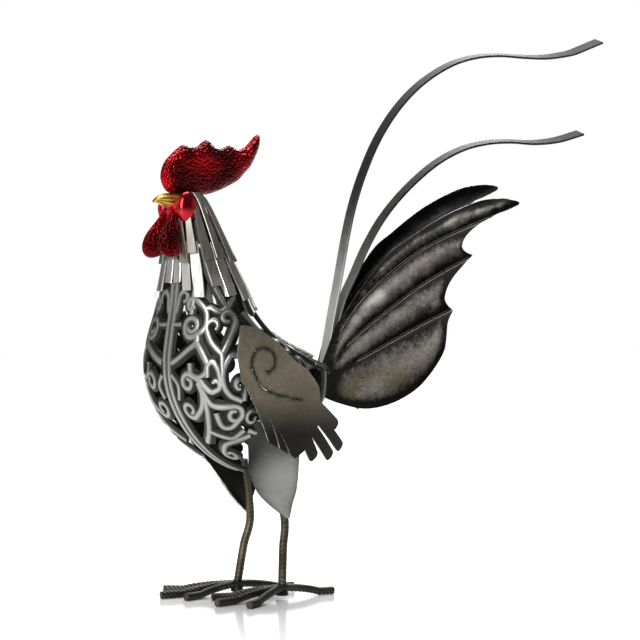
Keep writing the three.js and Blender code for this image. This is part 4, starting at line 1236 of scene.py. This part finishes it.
def thigh(side):
    spine = [(*along(THIGH_SPINE, j / THIGH_ROWS), along(THIGH_HALVES, j / THIGH_ROWS)[0])
             for j in range(THIGH_ROWS + 1)]
    points = []
    for x, y, z, half in spine:
        for i in range(THIGH_COLUMNS + 1):
            across = i / THIGH_COLUMNS * 2 - 1
            deep = y + THIGH_DISH * (across * half / THIGH_HALVES[1][0]) ** 2 - THIGH_TILT * across * half
            points.append(metres(x + across * half, deep * side, z))
    wide = THIGH_COLUMNS + 1
    faces = [(j * wide + i, j * wide + i + 1, (j + 1) * wide + i + 1, (j + 1) * wide + i)
             for j in range(THIGH_ROWS) for i in range(THIGH_COLUMNS)]
    mesh = bpy.data.meshes.new("thigh_sheet")
    mesh.from_pydata(points, [], [face if side > 0 else face[::-1] for face in faces])
    for material in (THIGH_STEEL, CUT_EDGE, THIGH_SHADED_INSIDE):
        mesh.materials.append(material)
    piece = new_object("thigh_sheet_" + ("left" if side > 0 else "right"), mesh)
    solid = piece.modifiers.new("thickness", "SOLIDIFY")
    solid.thickness = THIGH_SHEET / 1000
    solid.offset = -1 if mesh.polygons[0].normal.y * side < 0 else 1
    solid.material_offset_rim = 1
    baked(piece)
    tidy(piece, 40)
    for face in piece.data.polygons:
        if face.material_index == 0 and face.normal.y * side > 0.2:
            face.material_index = 2
    rims = []
    for vert in piece.data.vertices:
        x, z = drawn(vert.co)
        centre, _, _, half = min(spine, key=lambda row: abs(row[2] - z))
        rims.append(min(1, abs(x - centre) / half))
    carry(piece.data, "rim", rims)
    return piece


for side_name, side in BOTH_SIDES:
    belongs(thigh(side), "thigh_sheet", "thigh_" + side_name)

# %% [markdown]
# ## Rump cover
# A saddle of sheet closes the back behind the wings, with a slot on each side. It is drawn in plan, from
# above, and each point then drops to the height where the body's skin passes under it.

# %% Rump cover
RUMP_FRONT, RUMP_END, RUMP_HALF, RUMP_LIFT, RUMP_SHEET = 2, 50, 23, 1.6, 1.2
SLOT_X, SLOT_Y, SLOT_LONG, SLOT_WIDE, SLOT_SIDES = 37, 15.5, 5.5, 2.6, 24


def back_height(x, y):
    """The height at which the back's skin passes, found by halving."""
    low, high = 160.0, 214.0
    for _ in range(26):
        middle = (low + high) / 2
        _, widest, back, half = skin_slice(middle)
        if ((x - widest) / (back - widest)) ** 2 + (y / half) ** 2 < 1:
            low = middle
        else:
            high = middle
    return low


rump_outline = ([(RUMP_FRONT, -RUMP_HALF), (RUMP_END - RUMP_HALF * 0.8, -RUMP_HALF)]
                + smooth([(38, -22), (46, -14), (RUMP_END, 0), (46, 14), (38, 22)], 5)
                + [(RUMP_END - RUMP_HALF * 0.8, RUMP_HALF), (RUMP_FRONT, RUMP_HALF)])
turns = [2 * math.pi * k / SLOT_SIDES for k in range(SLOT_SIDES)]
rump_slots = [[(SLOT_X + SLOT_LONG * math.cos(turn), y + SLOT_WIDE * math.sin(turn)) for turn in turns]
              for y in (-SLOT_Y, SLOT_Y)]
RUMP_FINISH = satin_finish("rump_sheet", (0.02, 0.019, 0.017), (0.12, 0.11, 0.095), (2, 2, 2), 0.36)
rump = cut_sheet("rump_sheet", [rump_outline], rump_slots,
                 lambda x, y: (x, y, back_height(x, y) + RUMP_SHEET + RUMP_LIFT), RUMP_SHEET, 3,
                 [RUMP_FINISH, CUT_EDGE], inward=(0, 0, -1))
belongs(rump, "wing_sheet", "rump_cover")

# %% [markdown]
# ## Tail plates
# The tail is two fans of sheet. Each panel is pressed hollow between sharp ribs that run out to the points,
# so light breaks at every rib. The ribs are lines of the drawing: the triangles keep them as folds, and
# lines just beside them make the thin raised double edge.

# %% Drawing of the tail
TAIL_ROOT = Vector((60, 160))
TAIL_LINES = [
    [(54, 163), (78, 212), (117, 257), (175, 291), (252, 312)],
    [(54, 161), (89, 216), (150, 261.5), (224, 291), (262, 302)],
    [(54, 159), (84, 191), (133, 223), (167, 242), (226, 268)],
    [(54, 157), (84, 173), (141, 198), (167, 209), (212, 226)],
    [(52, 151), (82, 136), (126, 133), (180, 160), (206, 205)],
]
TAIL_TOP = [(68.6, 199), (77, 211), (117, 256.4), (142, 272.6), (175, 290.3), (208, 303), (226, 307.2),
            (246, 307.9)]
TAIL_TIP = [(256, 307.4), (260.5, 306.3), (260.3, 304.2), (252, 301.2)]
TAIL_NOTCHES = [((231, 294), (200.5, 281), (199.5, 268), (208.4, 261.4)),
                ((196.5, 249.6), (184, 238), (181.4, 225), (188.8, 215.4))]
TAIL_LOW = [(185.2, 206.8), (184, 194.2), (180, 181.3), (167, 165.6), (150, 152.1), (126, 142.2), (100, 138.6),
            (74, 143.6), (53, 151)]
TAIL_SHEET, TAIL_STEP, TAIL_DISH, TAIL_STAND = 1.2, 3.4, 3, 6.8
LEFT_SPLAY, RIGHT_SPLAY, RIGHT_TURN, RIGHT_BACK = 0.035, 0.012, math.radians(4.1), 11
RIB_HALF, RIB_PROUD, RIB_REACH = 1.3, 0.55, 4


def bend_line(a, by, b, count=10):
    """A curve from a to b that leans toward a point between them."""
    a, by, b = Vector(a), Vector(by), Vector(b)
    return [tuple(a.lerp(by, k / count).lerp(by.lerp(b, k / count), k / count)) for k in range(count + 1)]


def tail_outline():
    notches = []
    for start, by, end, point in TAIL_NOTCHES:
        notches += bend_line(start, by, end) + bend_line(end, (end[0] + 0.5, end[1] - 5), point)[1:]
    return (smooth([(53, 163)] + TAIL_TOP, 5)[:-1] + smooth([TAIL_TOP[-1]] + TAIL_TIP, 5)[:-1]
            + notches[:-1] + smooth([TAIL_NOTCHES[-1][-1]] + TAIL_LOW, 5)[:-1])


TAIL_RIBS = [evenly(smooth(line, 8), 2.4) for line in TAIL_LINES]
TAIL_RIM = tail_outline()
print("the tail's outline has", len(TAIL_RIM), "points")

# %% Panels and ribs


def rib_distance(x, z):
    """The nearest two ribs, as distances, and the nearest rib's number."""
    spots = sorted((min(math.dist((x, z), p) for p in rib), k) for k, rib in enumerate(TAIL_RIBS))
    return spots[0][0], spots[1][0], spots[0][1]


def tail_depth(x, z, splay):
    near, next_near, number = rib_distance(x, z)
    reach = math.dist((x, z), TAIL_ROOT)
    across = near / max(near + next_near, 1e-6)
    hollow = math.sin(math.pi * across) ** (1 if 0 < number < 4 else 2) * step_up(reach, 20, 90)
    edge = RIB_PROUD * (1 - step_up(near, 0.5, 2.0)) if 0 < number < 4 else 0
    return -(TAIL_STAND + TAIL_DISH * (1 - hollow) + splay * reach + edge)


def tail_plate(name, splay, place, finish):
    """One fan, its ribs kept as folds. Place turns a point of the drawing into its place on the plate."""
    folds = []
    for rib in TAIL_RIBS[1:4]:
        inner = [p for p in rib if math.dist(p, TAIL_ROOT) > 30]
        folds += [inner, beside(inner, RIB_HALF), beside(inner, -RIB_HALF)]
    folds = [[p for p in line if inside(p, TAIL_RIM)] for line in folds]
    return cut_sheet(name, [TAIL_RIM], [], lambda x, z: place(x, tail_depth(x, z, splay), z), TAIL_SHEET,
                     TAIL_STEP, [finish, DARK_EDGE], lines=folds,
                     inward=(0, 1 if name.endswith("left") else -1, 0))


def tail_marks(plate, unplace):
    """Numbers on each point: how near the middle of its panel, a rib and the rim it is."""
    middles, ribs, edges = [], [], []
    rim = evenly(TAIL_RIM, 3)
    for vert in plate.data.vertices:
        x, z = unplace(vert.co)
        near, next_near, number = rib_distance(x, z)
        reach = math.dist((x, z), TAIL_ROOT)
        middles.append(math.sin(math.pi * near / max(near + next_near, 1e-6)) * step_up(reach, 2, 24))
        ribs.append(max(0, 1 - near / RIB_REACH) * step_up(reach, 18, 42) if 0 < number < 4 else 0)
        edges.append(1 - step_up(min(math.dist((x, z), p) for p in rim), 0.5, 9))
    for name, values in (("middle", middles), ("rib", ribs), ("edge", edges)):
        carry(plate.data, name, values)


# %% [markdown]
# ## Blackened steel, rubbed silver
# The plates are blackened and then rubbed, so the middle of each panel shines and the rims stay dark. Each
# point of a plate carries how near it is to a panel's middle, a rib and the rim, and the finish sets these against
# clouds and flecks of noise. Painted highlights add silver streaks in the panels' middles and a thin bright line
# on each side of a rib, and painted shade darkens the rib's fold.

# %% Tail finish


def tail_finish(name, dark, light):
    """Blackened steel, rubbed silver in the panels' middles, with painted highlight streaks and lines and painted
    shade along the ribs.
    """
    f = Finish(name)
    middle, edge, rib = f.attribute("middle"), f.attribute("edge"), f.attribute("rib")
    cloud, grain, fleck = f.noise(34, 5), f.noise(600, 3), f.noise(240, 6)
    height = f.axis("Z")
    rubbed = (middle * 0.7 + cloud * 0.5 + fleck * 0.4 + grain * 0.4 - 0.88 - edge * 0.5).ramp(0.0, 0.8)
    moss = (1 - height.ramp(0.15, 0.19)) * cloud.ramp(0.4, 0.6)
    silver = f.mix(moss, light, (light[0] * 0.42, light[1] * 0.42, light[2] * 0.26))
    base = f.mix(rubbed, dark, silver)
    # Painted highlight: silver streaks along the panels' middles, high on the plate.
    painted_streak_highlight = middle.power(2.5) * f.noise(52, 4).ramp(0.5, 0.68) * height.ramp(0.18, 0.23) * (1 - edge)
    base = f.mix(painted_streak_highlight * 0.75, base, (light[0] * 1.9, light[1] * 1.9, light[2] * 1.95))
    # Painted highlight: a thin bright line beside each rib.
    line = rib.ramp(0.7, 0.78) * (1 - rib.ramp(0.78, 0.86)) * fleck.ramp(0.2, 0.45)
    base = f.mix(line * 0.9, base, light)
    # Painted shade: the rib's fold is darkened.
    base = f.mix(rib.ramp(0.78, 0.88) * 0.95, base, dark)
    return f.done(Base_Color=base, Roughness=0.26 + grain * 0.26, Metallic=0.96,
                  Normal=f.bump(grain * 0.5 + fleck * 0.5, 0.0005))


TAIL_FINISH = tail_finish("tail_sheet", (0.013, 0.013, 0.012), (0.44, 0.405, 0.36))
# The far plate is the same sheet, seen from inside: its near-black copy is painted shade.
TAIL_SHADED_FAR_FINISH = tail_finish("tail_sheet_far_painted_shade", (0.008, 0.008, 0.008), (0.06, 0.06, 0.06))

# %% Tail plates


def right_place(x, y, z):
    """The right plate is the left one mirrored, turned about the tail's root and set back."""
    dx, dz = x - TAIL_ROOT.x, z - TAIL_ROOT.y
    return (TAIL_ROOT.x + RIGHT_BACK + dx * math.cos(RIGHT_TURN) - dz * math.sin(RIGHT_TURN), -y,
            TAIL_ROOT.y + dx * math.sin(RIGHT_TURN) + dz * math.cos(RIGHT_TURN))


def right_unplace(place):
    x, z = drawn(place)
    dx, dz = x - TAIL_ROOT.x - RIGHT_BACK, z - TAIL_ROOT.y
    return (TAIL_ROOT.x + dx * math.cos(RIGHT_TURN) + dz * math.sin(RIGHT_TURN),
            TAIL_ROOT.y - dx * math.sin(RIGHT_TURN) + dz * math.cos(RIGHT_TURN))


left_plate = tail_plate("tail_fan_left", LEFT_SPLAY, lambda x, y, z: (x, y, z), TAIL_FINISH)
tail_marks(left_plate, drawn)
belongs(left_plate, "tail_sheet", "tail_plate_left")
right_plate = tail_plate("tail_fan_right", RIGHT_SPLAY, right_place, TAIL_SHADED_FAR_FINISH)
tail_marks(right_plate, right_unplace)
belongs(right_plate, "tail_sheet", "tail_plate_right")

# %% [markdown]
# ## Long tail ribbons
# Two flat bars leave the tail's root together and sweep up and back, one above the other, with a last small
# lift at the tip, where each has also twisted, its near edge down. The same sweeping tree makes them, from a
# flat section with eased corners, and the twist on each point turns the section.

# %% Ribbon lines and finish
RIBBON_TWIST = 24  # degrees at the free end
LONG_RIBBON = [(61.5, 150), (64.6, 166), (74, 210), (81.4, 242.3), (88.4, 273.7), (95.6, 299), (106, 324.6),
               (121, 352), (141.2, 377.5), (166, 399), (195.8, 416), (223, 425), (250, 429.2), (278, 430.4),
               (306, 432.4), (335, 438), (351, 443.6), (373, 452)]
SHORT_RIBBON = [(66.2, 152), (69.6, 172), (76.6, 200), (85, 223.6), (96, 243), (109.5, 267), (127.4, 291),
                (151.7, 314), (181, 334.8), (209, 348), (236, 355), (263, 358), (291.5, 358.6), (320, 362.4),
                (349.5, 370.4)]
RIBBON_SECTION = [(-0.9, -4.7, 1), (-0.9, 4.7, 1), (-0.6, 5, 0.3), (0.6, 5, 0.3), (0.9, 4.7, 1), (0.9, -4.7, 1),
                  (0.6, -5, 0.3), (-0.6, -5, 0.3)]


def ribbon_finish(name, dark, light):
    """Satin bar with painted light and shade: lighter low down, darker along its upper reach."""
    f = Finish(name)
    height = f.axis("Z")
    brush = f.noise(140, 4)
    # Painted light and shade by height: lighter low down, darker along the upper reach.
    share = (height.ramp(0.33, 0.19) * 0.85 + brush * 0.25 - 0.1).ramp(0, 1)
    return f.done(Base_Color=f.mix(share, dark, light), Roughness=0.5 + brush * 0.15, Metallic=0.96)


# The two ribbons are the same steel; the short one's darker copy is painted shade.
LONG_STEEL = ribbon_finish("ribbon_long_steel", (0.03, 0.03, 0.03), (0.5, 0.5, 0.48))
SHORT_STEEL = ribbon_finish("ribbon_short_steel", (0.018, 0.018, 0.017), (0.24, 0.24, 0.23))
print("ribbon steels:", LONG_STEEL.name, SHORT_STEEL.name)

# %% Ribbons


def ribbon(name, marks, steel):
    path = evenly(smooth(marks, 8), 2.5)
    line = []
    for k, ((x, z), ahead) in enumerate(zip(path, headings(path))):
        turned = math.radians(RIBBON_TWIST) * step_up(k / len(path), 0.3, 1)
        line.append(((x, 0, z), (-ahead.y, 0, ahead.x), 1.0, turned))
    made = swept(name, [line], RIBBON_SECTION, steel)
    tidy(made, 30)
    return made


belongs(ribbon("ribbon_long_bar", LONG_RIBBON, LONG_STEEL), "ribbon", "tail_ribbon_long")
belongs(ribbon("ribbon_short_bar", SHORT_RIBBON, SHORT_STEEL), "ribbon", "tail_ribbon_short")

# %% [markdown]
# ## Legs and feet
# Legs and toes are ribbed rod with a twist in it, like the bar that concrete is cast around. A leg's section
# is a circle with two faint ribs and a toe's has five deeper ones, and the twist on each point of the line
# winds them round the rod. A weld joins the four toes under each leg.

# %% Rod sizes and finish
LEG_ROD, TOE_ROD = 6.2, 5.8
RIB_STEP, LEG_STARTS, TOE_STARTS = 3.4, 2, 5
LEG_RIBS, TOE_RIBS = 0.035, 0.1
ROD_STEP, TOE_DROP = 0.8, 4.6
SIDES = {
    "left": dict(ankle=(11.7, -19.5), knee=(13.2, -20, 62), hip=(2, -16, 102),
                 toes=[(-38.6, -0.3), (-52.5, -26.7), (-39.5, -48.9), (54.2, -27.4)]),
    "right": dict(ankle=(-1.8, 19.5), knee=(10.9, 20, 59), hip=(2, 16, 102),
                  toes=[(-43.1, 57.9), (-62.9, 31.4), (-53.8, 11.5), (46.4, 12.6)]),
}
HUB_HEIGHT, HUB_RADIUS = 10, 4.2


def rod_finish():
    f = Finish("twisted_rod")
    crown = f.attribute("ridge")
    rust = f.noise(70, 4)
    grain = f.noise(500, 3)
    height = f.axis("Z")
    brown = f.mix(height.ramp(0.008, 0.02), (0.14, 0.133, 0.12), (0.17, 0.14, 0.09))
    # The rib crowns are partly painted lighter, a painted highlight on the ribs, mixed with rust mottling.
    base = f.mix((crown * 0.35 + rust * 0.8 - 0.25).ramp(0.1, 0.95), (0.022, 0.02, 0.015), brown)
    return f.done(Base_Color=base, Roughness=0.36 + grain * 0.25, Metallic=0.9, Normal=f.bump(grain, 0.0003))


ROD_FINISH = rod_finish()
print("rod finish:", ROD_FINISH.name)

# %% Rod lines and sections


def rod_section(diameter, starts, depth):
    """A circle with ribs, and how near each point is to a rib's crown."""
    found = []
    for k in range(8 * starts):
        turn = 2 * math.pi * k / (8 * starts)
        rib = 0.5 + 0.5 * math.cos(starts * turn)
        radius = diameter / 2 * (1.02 - depth * (1 - rib))
        found.append((math.cos(turn) * radius, math.sin(turn) * radius, 1 - (1 - rib) * depth / TOE_RIBS))
    return found


def rod_line(points, starts):
    """A line whose twist winds the ribs round the rod."""
    path = [Vector(p) for p in points]
    line, gone = [], 0.0
    for k, (point, ahead) in enumerate(zip(path, headings(path))):
        if k:
            gone += (point - path[k - 1]).length
        side = ahead.cross(Vector((0, 1, 0)) if abs(ahead.y) < 0.9 else Vector((1, 0, 0))).normalized()
        line.append((tuple(point), tuple(side), 1.0, gone / (RIB_STEP * starts) * 2 * math.pi))
    return line


# %% Legs and feet


def leg(name, ankle, knee, hip):
    low = (*ankle, 6)
    shin = (lerp(ankle[0], knee[0], 0.5), lerp(ankle[1], knee[1], 0.5), 36)
    line = rod_line(evenly(smooth([low, shin, knee, hip], 24), ROD_STEP), LEG_STARTS)
    return swept(name, [line], rod_section(LEG_ROD, LEG_STARTS, LEG_RIBS), ROD_FINISH)


def toe_points(ankle, tip):
    """A toe leaves the ankle high and comes down flat toward its tip."""
    found = []
    for k in range(49):
        share = k / 48
        drop = TOE_DROP * max(0.0, math.cos(math.pi / 2 * min(1, share / 0.72))) ** 0.8
        found.append((lerp(ankle[0], tip[0], share), lerp(ankle[1], tip[1], share), drop + TOE_ROD / 2))
    return evenly(found, ROD_STEP)


def weld(name, ankle):
    """The lump of weld between the toes and the leg, with runs in it."""
    rings = []
    for n in range(17):
        share = n / 16
        bulge = HUB_RADIUS * (1.08 - 0.3 * share + 0.1 * math.sin(share * 9.5))
        height = 2 + share * (HUB_HEIGHT - 1.4)
        ring = []
        for k in range(28):
            turn, rough = k * math.pi / 14, 1 + 0.06 * noise.noise(Vector((k * 0.6, share * 5, ankle[0])))
            ring.append((ankle[0] + math.cos(turn) * bulge * rough, ankle[1] + math.sin(turn) * bulge, height))
        rings.append(ring)
    return lofted(name, rings, ROD_FINISH)


def joined(pieces):
    """Several pieces as one object, the first."""
    work = bmesh.new()
    for piece in pieces:
        work.from_mesh(piece.data)
    work.to_mesh(pieces[0].data)
    work.free()
    for spare in pieces[1:]:
        bpy.data.objects.remove(spare)
    return pieces[0]


for side_name, sizes in SIDES.items():
    belongs(leg("leg_rod_" + side_name, sizes["ankle"], sizes["knee"], sizes["hip"]), "twisted_rod",
            "leg_" + side_name)
    toe_lines = [rod_line(toe_points(sizes["ankle"], tip), TOE_STARTS) for tip in sizes["toes"]]
    toes = swept("foot_rods_" + side_name, toe_lines, rod_section(TOE_ROD, TOE_STARTS, TOE_RIBS), ROD_FINISH)
    foot = joined([toes, weld("weld_" + side_name, sizes["ankle"])])
    belongs(foot, "twisted_rod", "foot_" + side_name)
